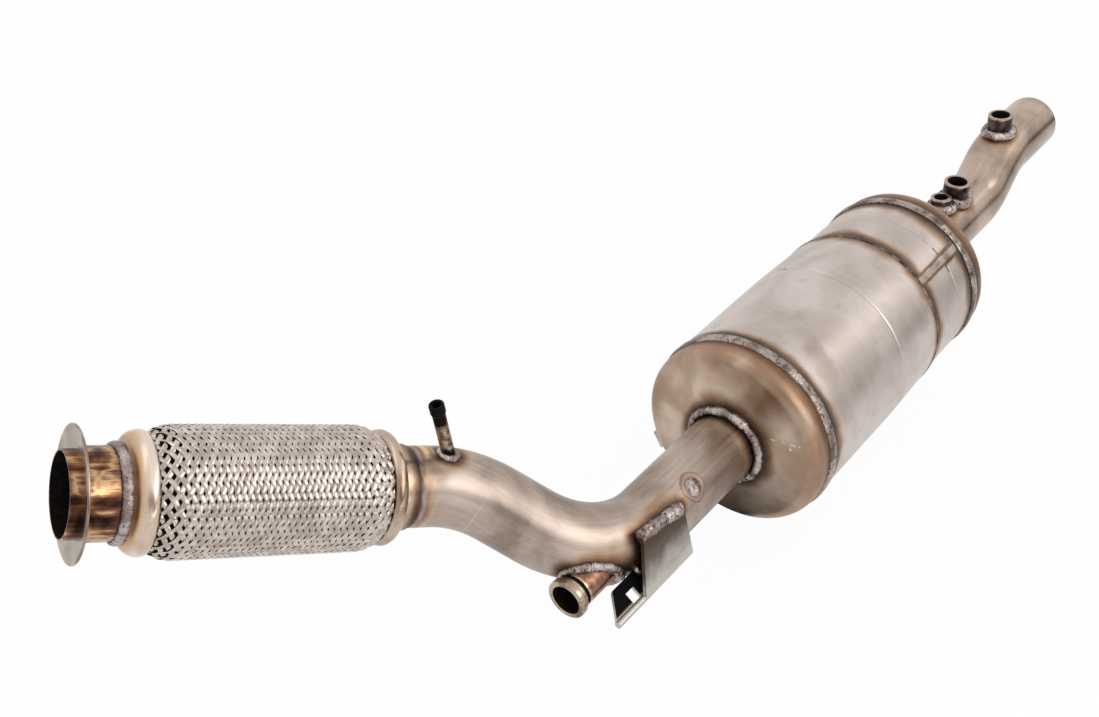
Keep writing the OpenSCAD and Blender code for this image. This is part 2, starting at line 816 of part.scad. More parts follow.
module joint_weld() {
    color("gray")
        on_can()
            rotate_extrude()
                difference() {
                    translate([rear_r, shell_end])
                        circle(r = joint_weld_h);
                    translate([0, shell_end - 2 * joint_weld_h])
                        square([rear_r + fit_gap, 4 * joint_weld_h]);
                    translate([0, shell_end + fit_gap - 2 * joint_weld_h])
                        square([sleeve_r + fit_gap, 2 * joint_weld_h]);
                }
}

module rear_shell() {
    color("silver")
        on_can()
            revolved([[rear_r, rear_start], [rear_r, shell_end + rear_straight],
                [rear_end_r, rear_end]], can_t);
}

module seam_strip() {
    start = shell_end + joint_weld_h + fit_gap;
    len = rear_end - rim_weld_w / 2 - start;
    half_turn = asin(seam_w / 2 / rear_r);
    color("gray")
        on_can()
            rotate([0, 0, 180 + seam_turn - half_turn])
                rotate_extrude(angle = 2 * half_turn)
                    translate([rear_r + fit_gap, start])
                        square([seam_h, len]);
}

module rear_rim_weld() {
    color("silver")
        on_can()
            difference() {
                ring_bead(cap_start, rear_end_r + fit_gap, rim_weld_w, rim_weld_h);
                rotate_extrude()
                    polygon([[0, rear_start], [rear_r + fit_gap, rear_start],
                        [rear_r + fit_gap, shell_end + rear_straight],
                        [rear_end_r + fit_gap, rear_end], [0, rear_end]]);
            }
}

module outlet_cap() {
    color("rosybrown")
        on_can()
            revolved(cap_path(), can_t);
}

module outlet_weld() {
    color("silver")
        on_can()
            rotate_extrude()
                difference() {
                    translate([outlet_r + neck_weld_h / 2, cap_end])
                        circle(r = neck_weld_h);
                    translate([0, cap_end - 2 * neck_weld_h])
                        square([outlet_r + fit_gap, 4 * neck_weld_h]);
                    polygon(concat([for (p = cap_path()) p + [0, fit_gap]],
                        [[0, cap_end + fit_gap], [0, 0]]));
                }
}

module lug() {
    color("gray")
        on_can()
            rotate([0, 0, 180 - lug_turn])
                difference() {
                    translate([can_r - lug_h, -lug_w / 2, dome_end - dome_skirt + fit_gap])
                        cube([2 * lug_h, lug_w, lug_t]);
                    cylinder(h = dome_end, r = can_r + fit_gap);
                }
}

module outlet_pipe() {
    color("rosybrown")
        difference() {
            outlet_run(outlet_r);
            outlet_run(outlet_in_r, cut_more);
            for (b = bosses)
                rod(b[0], b[0] + b[1] * 2 * outlet_r, b[3] + boss_hole_more);
        }
}

// Each boss: foot on the pipe's axis, direction, outer radius, thread radius, height above the pipe
function lean_dir(lean) = [0, sin(lean), cos(lean)];
sensor_boss_x = can_x + cap_end + sensor_boss_at;
bosses = [
    [[sensor_boss_x, can_y, can_z], lean_dir(sensor_boss_lean),
        sensor_boss_r, boss_thread_r, sensor_boss_h],
    [[sensor_boss_x - small_boss_gap, can_y, can_z], lean_dir(small_boss_lean),
        small_boss_r, small_thread_r, small_boss_h],
    [joggle_b + can_dir * end_boss_at, lean_dir(end_boss_lean),
        end_boss_r, boss_thread_r, end_boss_h]
];

module boss(b) {
    top = b[0] + b[1] * (outlet_r + b[4]);
    difference() {
        rod(b[0], top, b[2]);
        rod(b[0], top + b[1] * cut_more, b[3]);
        outlet_run(outlet_r + fit_gap);
    }
}

module boss_weld(b) {
    difference() {
        intersection() {
            outlet_run(outlet_r + boss_weld_h);
            rod(b[0], b[0] + b[1] * 2 * outlet_r, b[2] + boss_weld_w);
        }
        outlet_run(outlet_r + fit_gap);
        boss_room(b, 0);
    }
}

module sensor_boss() {
    color("dimgray")
        boss(bosses[0]);
}

module small_boss() {
    color("dimgray")
        boss(bosses[1]);
}

module end_boss() {
    color("dimgray")
        boss(bosses[2]);
}

// Room that a boss takes on the pipe, with or without its weld
module boss_room(b, weld_w) {
    rod(b[0], b[0] + b[1] * 2 * outlet_r, b[2] + weld_w + fit_gap);
}

module sensor_boss_weld() {
    color("silver")
        difference() {
            boss_weld(bosses[0]);
            boss_room(bosses[1], 0);
        }
}

module small_boss_weld() {
    color("silver")
        difference() {
            boss_weld(bosses[1]);
            boss_room(bosses[0], boss_weld_w);
        }
}

module end_boss_weld() {
    color("silver")
        boss_weld(bosses[2]);
}

module filter_brick() {
    color("wheat")
        on_can()
            translate([0, 0, shell_start + brick_from])
                cylinder(h = brick_len, r = brick_r);
}

module support_mat() {
    color("white")
        on_can()
            translate([0, 0, mat_from])
                difference() {
                    cylinder(h = mat_len, r = mat_r);
                    translate([0, 0, -cut_more])
                        cylinder(h = mat_len + 2 * cut_more, r = brick_r + fit_gap);
                }
}

mouth_tube();
flange_ring();
collar_tube();
collar_weld();
front_cup();
flex_braid();
flex_bellows();
flex_liner();
rear_cup();
inlet_pipe();
tap_tube();
tap_weld();
dosing_port();
port_weld();
bracket();
bracket_weld();
bracket_tacks();
plug_weld();
neck_weld();
inlet_dome();
front_rim_weld();
main_shell();
joint_weld();
rear_shell();
seam_strip();
rear_rim_weld();
outlet_cap();
outlet_weld();
lug();
outlet_pipe();
sensor_boss();
small_boss();
end_boss();
sensor_boss_weld();
small_boss_weld();
end_boss_weld();
filter_brick();
support_mat();
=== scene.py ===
import json
import math
import random

import bpy
from mathutils import Matrix, Vector


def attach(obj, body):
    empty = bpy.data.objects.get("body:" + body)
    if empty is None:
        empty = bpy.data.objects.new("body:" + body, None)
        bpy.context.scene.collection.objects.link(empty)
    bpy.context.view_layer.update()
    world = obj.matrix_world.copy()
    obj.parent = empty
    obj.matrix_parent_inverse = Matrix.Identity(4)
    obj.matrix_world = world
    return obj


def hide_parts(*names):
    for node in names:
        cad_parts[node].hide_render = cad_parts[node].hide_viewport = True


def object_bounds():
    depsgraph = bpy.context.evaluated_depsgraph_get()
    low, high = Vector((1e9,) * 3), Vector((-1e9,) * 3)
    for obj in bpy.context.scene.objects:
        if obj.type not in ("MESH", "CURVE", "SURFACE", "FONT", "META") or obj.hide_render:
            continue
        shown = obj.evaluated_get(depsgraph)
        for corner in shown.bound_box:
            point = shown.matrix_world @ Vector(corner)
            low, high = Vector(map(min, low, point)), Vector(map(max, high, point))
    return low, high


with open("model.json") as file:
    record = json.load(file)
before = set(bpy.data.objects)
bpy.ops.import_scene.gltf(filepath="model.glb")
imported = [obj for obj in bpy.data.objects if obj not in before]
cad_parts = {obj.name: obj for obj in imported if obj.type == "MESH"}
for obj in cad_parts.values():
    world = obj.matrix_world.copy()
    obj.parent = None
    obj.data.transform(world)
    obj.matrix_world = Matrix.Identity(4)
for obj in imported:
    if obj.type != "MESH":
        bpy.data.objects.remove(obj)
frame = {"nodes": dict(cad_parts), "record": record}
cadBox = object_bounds()
mm = 0.001

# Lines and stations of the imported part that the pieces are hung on
mounts = {m["name"]: m for m in frame["record"]["mounts"]}
mouthAt = Vector(mounts["inlet"]["pos_m"])
flexAxis = -Vector(mounts["inlet"]["axis"]).normalized()
portAt = Vector(mounts["dosing_port"]["pos_m"])
canAxis = Vector(mounts["outlet"]["axis"])
canStart = Vector((0, portAt.y, portAt.z))
upAxis = Vector((0, 0, 1))


def heading(yaw, pitch):
    yaw, pitch = math.radians(yaw), math.radians(pitch)
    return Vector((math.cos(pitch) * math.cos(yaw), math.cos(pitch) * math.sin(yaw), math.sin(pitch)))


def span(node, start, axis):  # first and last point of a node along an axis
    steps = [(v.co - start).dot(axis) for v in frame["nodes"][node].data.vertices]
    return min(steps), max(steps)


def reach(node, start, axis):  # largest radius of a node about an axis
    return max((v.co - start).cross(axis).length for v in frame["nodes"][node].data.vertices)


def sideOf(axis):  # two directions square to an axis
    first = axis.cross(upAxis if abs(axis.z) < 0.9 else canAxis).normalized()
    return first, axis.cross(first).normalized()


# Shader maths

class Wire:
    def __init__(self, tree, socket=None):
        self.tree = tree
        self.socket = socket

    def node(self, kind, settings=None, sockets=None, out=0):
        made = self.tree.nodes.new(kind)
        for key, value in (settings or {}).items():
            if key == "stops":
                while len(made.color_ramp.elements) < len(value):
                    made.color_ramp.elements.new(1)
                for stop, (place, colour) in zip(made.color_ramp.elements, value):
                    stop.position = place
                    stop.color = (*colour, 1)
            else:
                setattr(made, key, value)
        for key, value in (sockets or {}).items():
            if isinstance(value, Wire):
                self.tree.links.new(value.socket, made.inputs[key])
            else:
                made.inputs[key].default_value = value
        return Wire(self.tree, made.outputs[out])

    def maths(self, operation, other=0.0):
        return self.node("ShaderNodeMath", {"operation": operation}, {0: self, 1: other})

    def __add__(self, other):
        return self.maths("ADD", other)

    def __mul__(self, other):
        return self.maths("MULTIPLY", other)

    def __sub__(self, other):
        return self.maths("SUBTRACT", other)

    def __rsub__(self, other):
        return self.node("ShaderNodeMath", {"operation": "SUBTRACT"}, {0: other, 1: self})

    def __truediv__(self, other):
        return self.maths("DIVIDE", other)

    __radd__ = __add__
    __rmul__ = __mul__

    def lowest(self, other):
        return self.maths("MINIMUM", other)

    def highest(self, other):
        return self.maths("MAXIMUM", other)

    def ease(self, low, high):  # 0 to 1 between two values, or 1 to 0
        low, high, flip = (low, high, False) if low < high else (high, low, True)
        eased = self.node("ShaderNodeMapRange", {"interpolation_type": "SMOOTHSTEP"},
                          {"Value": self, "From Min": low, "From Max": high})
        return 1 - eased if flip else eased

    def vector(self, operation, other=(0, 0, 0), out=0):
        return self.node("ShaderNodeVectorMath", {"operation": operation}, {0: self, 1: other}, out)

    def dot(self, axis):
        return self.vector("DOT_PRODUCT", tuple(axis), 1)

    def size(self):
        return self.vector("LENGTH", out=1)

    def stretched(self, scale):
        return self.vector("MULTIPLY", scale)

    def noise(self, scale, detail=3, rough=0.5, twist=0):
        return self.node("ShaderNodeTexNoise", {},
                         {"Vector": self, "Scale": scale, "Detail": detail, "Roughness": rough, "Distortion": twist})

    def wobbled(self, scale, amount):  # the same place, pushed about by noise
        shift = self.node("ShaderNodeTexNoise", {}, {"Vector": self, "Scale": scale, "Detail": 2}, 1)
        shift = shift.vector("SUBTRACT", (0.5, 0.5, 0.5)).stretched((amount, amount, amount))
        return self.vector("ADD", shift)

    def mixed(self, first, second):  # this value is the factor
        return self.node("ShaderNodeMix", {"data_type": "RGBA"}, {0: self, 6: first, 7: second}, 2)

    def ramp(self, stops):
        return self.node("ShaderNodeValToRGB", {"stops": stops}, {0: self})

    def shaded(self, colour):  # a colour made lighter or darker by this value
        return self.node("ShaderNodeVectorMath", {"operation": "SCALE"}, {0: colour, "Scale": self})


def srgb(red, green, blue):
    return tuple((c / 255 / 12.92) if c < 11 else ((c / 255 + 0.055) / 1.055) ** 2.4 for c in (red, green, blue))


def paint(rgb):
    return (*srgb(*rgb), 1)


def newFinish(name):
    material = bpy.data.materials.new(name)
    material.use_nodes = True
    tree = material.node_tree
    shader = tree.nodes["Principled BSDF"]
    start = Wire(tree)
    place = start.node("ShaderNodeTexCoord", out=3)
    run = start.node("ShaderNodeAttribute", {"attribute_name": "run"}, out=1)
    return material, shader, place, run


def feed(shader, name, value):
    shader.id_data.links.new(value.socket, shader.inputs[name])


def roughen(shader, height, depth, strength=1.0):
    bump = height.node("ShaderNodeBump", {}, {"Strength": strength, "Distance": depth, "Height": height})
    feed(shader, "Normal", bump)


# How far a surface point lies from a weld, in metres

def fromRing(place, at, axis, low, high):  # off the stretch between two stations of an axis
    along = place.vector("SUBTRACT", tuple(at)).dot(axis)
    return (low - along).highest(along - high).highest(0)


def fromTube(place, at, axis, radius):  # off the foot of a tube
    away = place.vector("SUBTRACT", tuple(at)).vector("CROSS_PRODUCT", tuple(axis)).size()
    return (away - radius).highest(0)


def fromBead(place, first, last, radius):  # off a straight bead
    along = last - first
    part = place.vector("SUBTRACT", tuple(first))
    share = (part.dot(along) / along.length_squared).highest(0).lowest(1)
    off = share.node("ShaderNodeVectorMath", {"operation": "SCALE"}, {0: tuple(along), "Scale": share})
    return (part.vector("SUBTRACT", off).size() - radius).highest(0)


# Steel that is bright where it was never hot and tinted beside the welds
heatStops = [(0.0, (0.02, 0.013, 0.01)), (0.12, (0.075, 0.042, 0.027)), (0.28, (0.2, 0.11, 0.065)),
             (0.5, (0.36, 0.225, 0.135)), (0.75, (0.46, 0.34, 0.24)), (1.0, (0.5, 0.42, 0.36))]


def steelFinish(name, look, heat=None, marks=None):
    material, shader, place, run = newFinish(name)
    grain = run.stretched(look["grain"])
    streaks = grain.noise(1, 4, 0.6)
    fine = run.stretched([3 * g for g in look["grain"]]).noise(1, 2, 0.7)
    clouds = place.noise(look["cloudScale"], 4, 0.55, 0.4)
    spots = place.noise(look["cloudScale"] * 3.3, 3, 0.6)
    steel = clouds.ease(0.36, 0.66).mixed(paint(look["dark"]), paint(look["light"]))
    steel = ((streaks - 0.5) * look["streak"] + (fine - 0.5) * look["streak"] * 0.7 + 1).shaded(steel)
    rough = look["rough"] + (clouds - 0.5) * 0.18 + (streaks - 0.5) * 0.2
    if heat:
        near = None
        for off, far in heat(place):
            part = off / far
            near = part if near is None else near.lowest(part)
        patch = place.noise(look.get("patchScale", 22), 2, 0.5).ease(0.32, 0.68)
        near = near * (1.45 - patch * 0.7) + (spots - 0.5) * 0.4 + (streaks - 0.5) * 0.3
        cover = near.ease(1.0, 0.3) * look.get("heatCover", 0.9)
        steel = cover.mixed(steel, near.ramp(look.get("heatStops", heatStops)))
        rough = rough + cover * 0.08
    for mark, colour in (marks(place) if marks else []):
        steel = mark.mixed(steel, paint(colour))
    feed(shader, "Base Color", steel)
    feed(shader, "Roughness", rough)
    shader.inputs["Metallic"].default_value = look.get("metal", 1.0)
    roughen(shader, streaks * 0.7 + fine * 0.5 + spots * 0.4, look.get("grainDepth", 0.00006))
    return material


# Modelling helpers

def clearSelection():
    if bpy.context.object and bpy.context.object.mode != "OBJECT":
        bpy.ops.object.mode_set(mode="OBJECT")
    bpy.ops.object.select_all(action="DESELECT")


def pick(piece):
    clearSelection()
    bpy.context.view_layer.objects.active = piece
    piece.select_set(True)


def edit(select="SELECT"):
    bpy.ops.object.mode_set(mode="EDIT")
    bpy.ops.mesh.select_all(action=select)


def applied(piece, kind, settings):
    pick(piece)
    modifier = piece.modifiers.new(kind.title(), kind)
    for key, value in settings.items():
        setattr(modifier, key, value)
    bpy.ops.object.modifier_apply(modifier=modifier.name)


def smooth(piece, angle=38):
    pick(piece)
    bpy.ops.object.shade_smooth_by_angle(angle=math.radians(angle))


def filleted(section, steps=3):  # a section of (along, radius) points, with a round as third value
    points = []
    count = len(section)
    for k, corner in enumerate(section):
        here = Vector(corner[:2])
        if len(corner) < 3:
            points.append(here)
            continue
        back = Vector(section[k - 1][:2]) - here
        ahead = Vector(section[(k + 1) % count][:2]) - here
        turn = back.angle(ahead)
        cut = min(corner[2] / math.tan(turn / 2), 0.45 * back.length, 0.45 * ahead.length)
        first, last = here + back.normalized() * cut, here + ahead.normalized() * cut
        for s in range(steps + 1):
            t = s / steps
            points.append(first * (1 - t) ** 2 + here * 2 * t * (1 - t) + last * t * t)
    return points


def walled(path, thickness):  # closed section of a sheet, with the wall to the inside of an outer path
    path = [Vector(p) for p in path]
    inner = []
    for k, here in enumerate(path):
        back = (here - path[k - 1]).normalized() if k else (path[1] - here).normalized()
        ahead = (path[k + 1] - here).normalized() if k + 1 < len(path) else back
        a, b = Vector((back.y, -back.x)), Vector((ahead.y, -ahead.x))
        inner.append(here + (a + b) * (thickness / (1 + a.dot(b))))
    return path + inner[::-1]


def arc(centre, radius, start, stop, steps=10):
    turns = [math.radians(start + (stop - start) * k / steps) for k in range(steps + 1)]
    return [(centre[0] + radius * math.sin(a), centre[1] + radius * math.cos(a)) for a in turns]


def turned(name, start, axis, section, sides=96):  # a closed section spun about an axis
    first = sideOf(axis)[0]
    points = filleted(section)
    clearSelection()
    bpy.ops.mesh.primitive_circle_add(vertices=len(points), radius=mm)
    piece = bpy.context.object
    piece.name = name
    for vertex, (along, radius) in zip(piece.data.vertices, points):
        vertex.co = start + axis * along + first * radius
    edit()
    bpy.ops.mesh.spin(steps=sides, angle=2 * math.pi, center=start, axis=axis)
    bpy.ops.mesh.select_all(action="SELECT")
    bpy.ops.mesh.remove_doubles(threshold=1e-6)
    bpy.ops.mesh.normals_make_consistent(inside=False)
    clearSelection()
    smooth(piece)
    marked(piece, start, axis)
    return piece


def marked(piece, start, axis):  # place along and across the axis, for grain that follows the piece
    first, second = sideOf(axis)
    values = []
    for vertex in piece.data.vertices:
        off = vertex.co - start
        values += [off.dot(axis), off.dot(first), off.dot(second)]
    setRun(piece, values)


def setRun(piece, values):
    old = piece.data.attributes.get("run")
    if old:
        piece.data.attributes.remove(old)
    run = piece.data.attributes.new("run", "FLOAT_VECTOR", "POINT")
    run.data.foreach_set("vector", values)


def pathMarked(piece, path):  # the same along a bent path
    lengths = [0]
    for a, b in zip(path, path[1:]):
        lengths.append(lengths[-1] + (b - a).length)
    values = []
    for vertex in piece.data.vertices:
        k = min(range(len(path)), key=lambda i: (path[i] - vertex.co).length_squared)
        axis = (path[min(k + 1, len(path) - 1)] - path[max(k - 1, 0)]).normalized()
        first, second = sideOf(axis)
        off = vertex.co - path[k]
        values += [lengths[k] + off.dot(axis), off.dot(first), off.dot(second)]
    setRun(piece, values)


def corner(at, before, after, radius):  # tangent length, centre, axis and angle of a bend
    angle = before.angle(after)
    cut = radius * math.tan(angle / 2)
    inward = (after - before * before.dot(after)).normalized()
    return cut, at - before * cut + inward * radius, before.cross(after).normalized(), angle


def bentPath(stops, radius, steps=14):  # points of a path that is rounded at its corners
    path = [stops[0]]
    for back, at, ahead in zip(stops, stops[1:], stops[2:]):
        before, after = (at - back).normalized(), (ahead - at).normalized()
        cut, centre, axis, angle = corner(at, before, after, radius)
        first = at - before * cut
        count = int((first - path[-1]).length / (6 * mm))
        path += [path[-1].lerp(first, k / count) for k in range(1, count)]
        for k in range(steps + 1):
            path.append(centre + Matrix.Rotation(angle * k / steps, 3, axis) @ (first - centre))
    count = int((stops[-1] - path[-1]).length / (6 * mm))
    return path + [path[-1].lerp(stops[-1], k / count) for k in range(1, count + 1)]


def sweptTube(name, stops, bendRadius, radius, sides=72, steps=14):  # a ring pushed along straights and bends
    axis = (stops[1] - stops[0]).normalized()
    clearSelection()
    turn = axis.to_track_quat("Z", "Y").to_euler()
    bpy.ops.mesh.primitive_circle_add(vertices=sides, radius=radius, location=stops[0], rotation=turn)
    piece = bpy.context.object
    piece.name = name
    bpy.ops.object.transform_apply(location=True, rotation=True, scale=True)
    edit()
    at = stops[0]
    for here, ahead in zip(stops[1:], stops[2:] + [None]):
        before = (here - at).normalized()
        if ahead is None:
            bpy.ops.mesh.extrude_edges_move(TRANSFORM_OT_translate={"value": here - at})
            break
        cut, centre, spinAxis, angle = corner(here, before, (ahead - here).normalized(), bendRadius)
        bpy.ops.mesh.extrude_edges_move(TRANSFORM_OT_translate={"value": here - before * cut - at})
        bpy.ops.mesh.spin(steps=steps, angle=-angle, center=centre, axis=spinAxis, use_auto_merge=False)
        at = here + (ahead - here).normalized() * cut
    bpy.ops.mesh.select_all(action="SELECT")
    bpy.ops.mesh.remove_doubles(threshold=1e-6)
    bpy.ops.mesh.normals_make_consistent(inside=False)
    clearSelection()
    return piece


def capped(piece):  # closes the open ends of a tube
    pick(piece)
    edit("DESELECT")
    bpy.ops.mesh.select_non_manifold()
    bpy.ops.mesh.fill_holes(sides=0)
    bpy.ops.mesh.select_all(action="SELECT")
    bpy.ops.mesh.normals_make_consistent(inside=False)
    clearSelection()
    return piece


def cutAway(piece, cutters):
    for cutter in cutters:
        applied(piece, "BOOLEAN", {"operation": "DIFFERENCE", "solver": "EXACT", "object": cutter})


def rod(name, start, axis, first, last, radius, sides=48):  # plain round cutter
    clearSelection()
    middle = start + axis * (first + last) / 2
    turn = axis.to_track_quat("Z", "Y").to_euler()
    bpy.ops.mesh.primitive_cylinder_add(vertices=sides, radius=radius, depth=last - first,
                                        location=middle, rotation=turn)
    piece = bpy.context.object
    piece.name = name
    bpy.ops.object.transform_apply(location=True, rotation=True, scale=True)
    return piece


def dropped(*pieces):
    for piece in pieces:
        bpy.data.objects.remove(piece)


def dressed(piece, finish, slot, *nodes):
    piece.data.materials.clear()
    piece.data.materials.append(finish)
    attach(piece, "root")
    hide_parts(*nodes)
    return piece


# The second finish is the soot and painted shade of a bore's inside
def sooted(piece, finish, start, axis, radius):  # second finish on faces nearer to the axis than a radius
    piece.data.materials.append(finish)
    for face in piece.data.polygons:
        off = face.center - start
        if off.cross(axis).length < radius and (off - axis * off.dot(axis)).dot(face.normal) < 0.2 * off.length:
            face.material_index = 1


def weldBead(name, path, look, closed=True, seed=1):  # rippled bead along a path of points
    chance = random.Random(seed)
    clearSelection()
    bpy.ops.curve.primitive_bezier_circle_add(radius=mm)
    curve = bpy.context.object
    curve.name = name
    curve.data.splines.clear()
    spline = curve.data.splines.new("POLY")
    points = evenly(path, look["step"], closed)
    spline.points.add(len(points) - 1)
    along = 0
    swell = [chance.uniform(-1, 1) for _ in range(len(points) // 9 + 2)]
    for k, (point, at) in enumerate(zip(spline.points, points)):
        part = k / 9 % 1
        lump = swell[k // 9] * (1 - part) + swell[k // 9 + 1] * part
        ripple = abs(math.sin(math.pi * along / look["pitch"])) ** 0.7 - 0.6
        end = 1 if closed or look.get("square") else min(1, 0.45 + 0.3 * min(k, len(points) - 1 - k))
        point.co = (*(at + Vector((chance.uniform(-1, 1) for _ in range(3))) * look["jitter"]), 1)
        point.radius = end * (1 + look["ripple"] * ripple + look["lump"] * lump + look["ripple"] * chance.uniform(-0.4, 0.4))
        along += look["step"] * chance.uniform(0.8, 1.2)
    spline.use_cyclic_u = closed
    curve.data.dimensions = "3D"
    curve.data.bevel_depth = look["radius"]
    curve.data.bevel_resolution = 4
    curve.data.use_fill_caps = not closed
    bpy.ops.object.convert(target="MESH")
    piece = bpy.context.object
    edit()
    bpy.ops.mesh.remove_doubles(threshold=1e-6)
    bpy.ops.mesh.normals_make_consistent(inside=False)
    clearSelection()
    if look.get("rough"):
        applied(piece, "DISPLACE", {"texture": lumps, "strength": look["rough"], "mid_level": 0.5})
    smooth(piece, 80)
    return piece


def evenly(path, step, closed):  # points at an even step along a path
    loop = list(path) + ([path[0]] if closed else [])
    points, left = [], 0.0
    for a, b in zip(loop, loop[1:]):
        length = (b - a).length
        at = left
        while at < length:
            points.append(a.lerp(b, at / length))
            at += step
        left = at - length
    return points


def ringPath(centre, axis, radius, count=180):
    first, second = sideOf(axis)
    turns = [2 * math.pi * k / count for k in range(count)]
    return [centre + (first * math.cos(a) + second * math.sin(a)) * radius for a in turns]


def saddlePath(carrier, mouth, axis, radius, count=90):  # where a tube round an axis meets its carrier
    points = []
    for at in ringPath(mouth, axis, radius, count):
        hit, where, _, _ = carrier.ray_cast(at, -axis)
        if hit:
            points.append(where)
    return points


def seated(piece, start, axis, radius, share=1.0):  # lays a bead flat on a round seat
    for vertex in piece.data.vertices:
        off = vertex.co - start
        out = off - axis * off.dot(axis)
        proud = out.length - radius
        vertex.co += out.normalized() * (max(proud, 0) * share - proud)


# Finishes

# Near-black for the insides of bores and tubes: soot, and painted shade in these recesses
def sootFinish():
    material, shader, place, run = newFinish("sootAndShade")
    patches = place.noise(160, 4, 0.6)
    feed(shader, "Base Color", patches.ease(0.4, 0.75).mixed(paint((9, 7, 6)), paint((30, 24, 20))))
    feed(shader, "Roughness", patches * 0.2 + 0.72)
    shader.inputs["Specular IOR Level"].default_value = 0.1
    return material


def weldFinish(name, lined):
    look = dict(silver=(194, 181, 177), shade=(132, 116, 111), burnt=(66, 50, 43))
    if lined:
        look = dict(silver=(176, 163, 154), shade=(112, 97, 88), burnt=(64, 48, 40))
    material, shader, place, run = newFinish(name)
    coarse = place.noise(260, 3, 0.55)
    grit = place.noise(900, 3, 0.7)
    if lined:
        grit = run.stretched((1700, 50, 50)).noise(1, 3, 0.6)
    patches = place.noise(70, 3, 0.5, 0.6)
    colour = patches.ease(0.35, 0.65).mixed(paint(look["shade"]), paint(look["silver"]))
    colour = coarse.ease(0.56, 0.7).mixed(colour, paint(look["burnt"]))
    colour = (grit * 0.5 + 0.7).shaded(colour)
    feed(shader, "Base Color", colour)
    feed(shader, "Roughness", coarse * 0.35 + 0.14)
    shader.inputs["Metallic"].default_value = 1.0
    roughen(shader, coarse * 0.8 + grit * 0.3, 0.0004 if lined else 0.001)
    return material


def braidFinish():
    look = dict(light=(212, 200, 191), dark=(176, 162, 152), wires=5)
    material, shader, place, run = newFinish("braidWire")
    across = run.node("ShaderNodeSeparateXYZ", {}, {0: run}, 1)
    wires = (across * (look["wires"] * math.pi)).maths("SINE").maths("ABSOLUTE")
    patches = place.noise(120, 3, 0.6)
    colour = patches.ease(0.35, 0.7).mixed(paint(look["dark"]), paint(look["light"]))
    colour = (wires * 0.2 + 0.86).shaded(colour)
    feed(shader, "Base Color", colour)
    feed(shader, "Roughness", patches * 0.1 + 0.2)
    shader.inputs["Metallic"].default_value = 1.0
    roughen(shader, wires, 0.00003)
    return material


def zincFinish(inside, fold, upward):
    look = dict(light=(192, 186, 178), dark=(102, 93, 83), burnt=(84, 62, 46), paintedShade=(12, 10, 10), height=32 * mm)
    material, shader, place, run = newFinish("zincPlate")
    normal = place.node("ShaderNodeNewGeometry", out=1)
    grain = place.stretched((30, 260, 260)).noise(1, 3, 0.6)
    patches = place.noise(45, 4, 0.55)
    # Painted shade: the plate is painted lighter at the fold and darker up towards the pipe above it
    high = place.vector("SUBTRACT", tuple(fold)).dot(upward) + (patches - 0.5) * 0.03
    colour = high.ease(0, look["height"]).mixed(paint(look["light"]), paint(look["dark"]))
    off = fromBead(place, bracketBead["first"], bracketBead["last"], bracketBead["radius"]) + (patches - 0.5) * 0.014
    colour = (off.ease(13 * mm, 1 * mm) * 0.8).mixed(colour, paint(look["burnt"]))
    colour = ((grain - 0.5) * 0.3 + 1).shaded(colour)
    # Painted shade: the far leg's inner face, in the groove between the legs under the pipe, is painted matte black
    # and not metallic
    back = place.vector("SUBTRACT", tuple(fold)).dot(inside.cross(canAxis))
    dark = normal.dot(inside).ease(0.75, 0.95) * back.maths("ABSOLUTE").ease(2 * mm, 5 * mm)
    colour = dark.mixed(colour, paint(look["paintedShade"]))
    feed(shader, "Base Color", colour)
    feed(shader, "Roughness", patches * 0.2 + 0.3 + dark * 0.3)
    feed(shader, "Metallic", 1 - dark)
    shader.inputs["Specular IOR Level"].default_value = 0.05
    roughen(shader, grain, 0.00005)
    return material


def darkSteelFinish():
    look = dict(light=(94, 80, 76), dark=(13, 11, 10), rim=(178, 150, 138))
    material, shader, place, run = newFinish("darkTurnedSteel")
    along = run.node("ShaderNodeSeparateXYZ", {}, {0: run}, 0)
    lines = run.stretched((2600, 60, 60)).noise(1, 2, 0.6)
    patches = place.noise(110, 4, 0.6)
    colour = patches.ease(0.36, 0.7).mixed(paint(look["dark"]), paint(look["light"]))
    colour = (along + (patches - 0.5) * 0.003).ease(-2.4 * mm, -0.9 * mm).mixed(colour, paint(look["rim"]))
    feed(shader, "Base Color", ((lines - 0.5) * 0.4 + 1).shaded(colour))
    feed(shader, "Roughness", patches * 0.25 + 0.2)
    shader.inputs["Metallic"].default_value = 1.0
    roughen(shader, lines, 0.00008)
    return material


def plainFinish(name, light, dark, rough, metal, scale):
    material, shader, place, run = newFinish(name)
    patches = place.noise(scale, 4, 0.6)
    feed(shader, "Base Color", patches.ease(0.35, 0.68).mixed(paint(dark), paint(light)))
    feed(shader, "Roughness", patches * 0.2 + rough)
    shader.inputs["Metallic"].default_value = metal
    roughen(shader, patches, 0.0002)
    return material


lumps = bpy.data.textures.new("weldLumps", "CLOUDS")
lumps.noise_scale = 3.4 * mm
lumps.noise_depth = 2
sootAndShade = sootFinish()
weldMetal = weldFinish("weldMetal", False)
rimMetal = weldFinish("rimMetal", True)
darkSteel = darkSteelFinish()
print("finishes ready")

# Inlet end: mouth tube, ring and collar
inletEnd = dict(mouthWall=1.4 * mm, ringWall=2.0 * mm, ringDish=1.5 * mm, collarWall=2.0 * mm,
                weldRadius=4.6 * mm, weldShare=0.62)


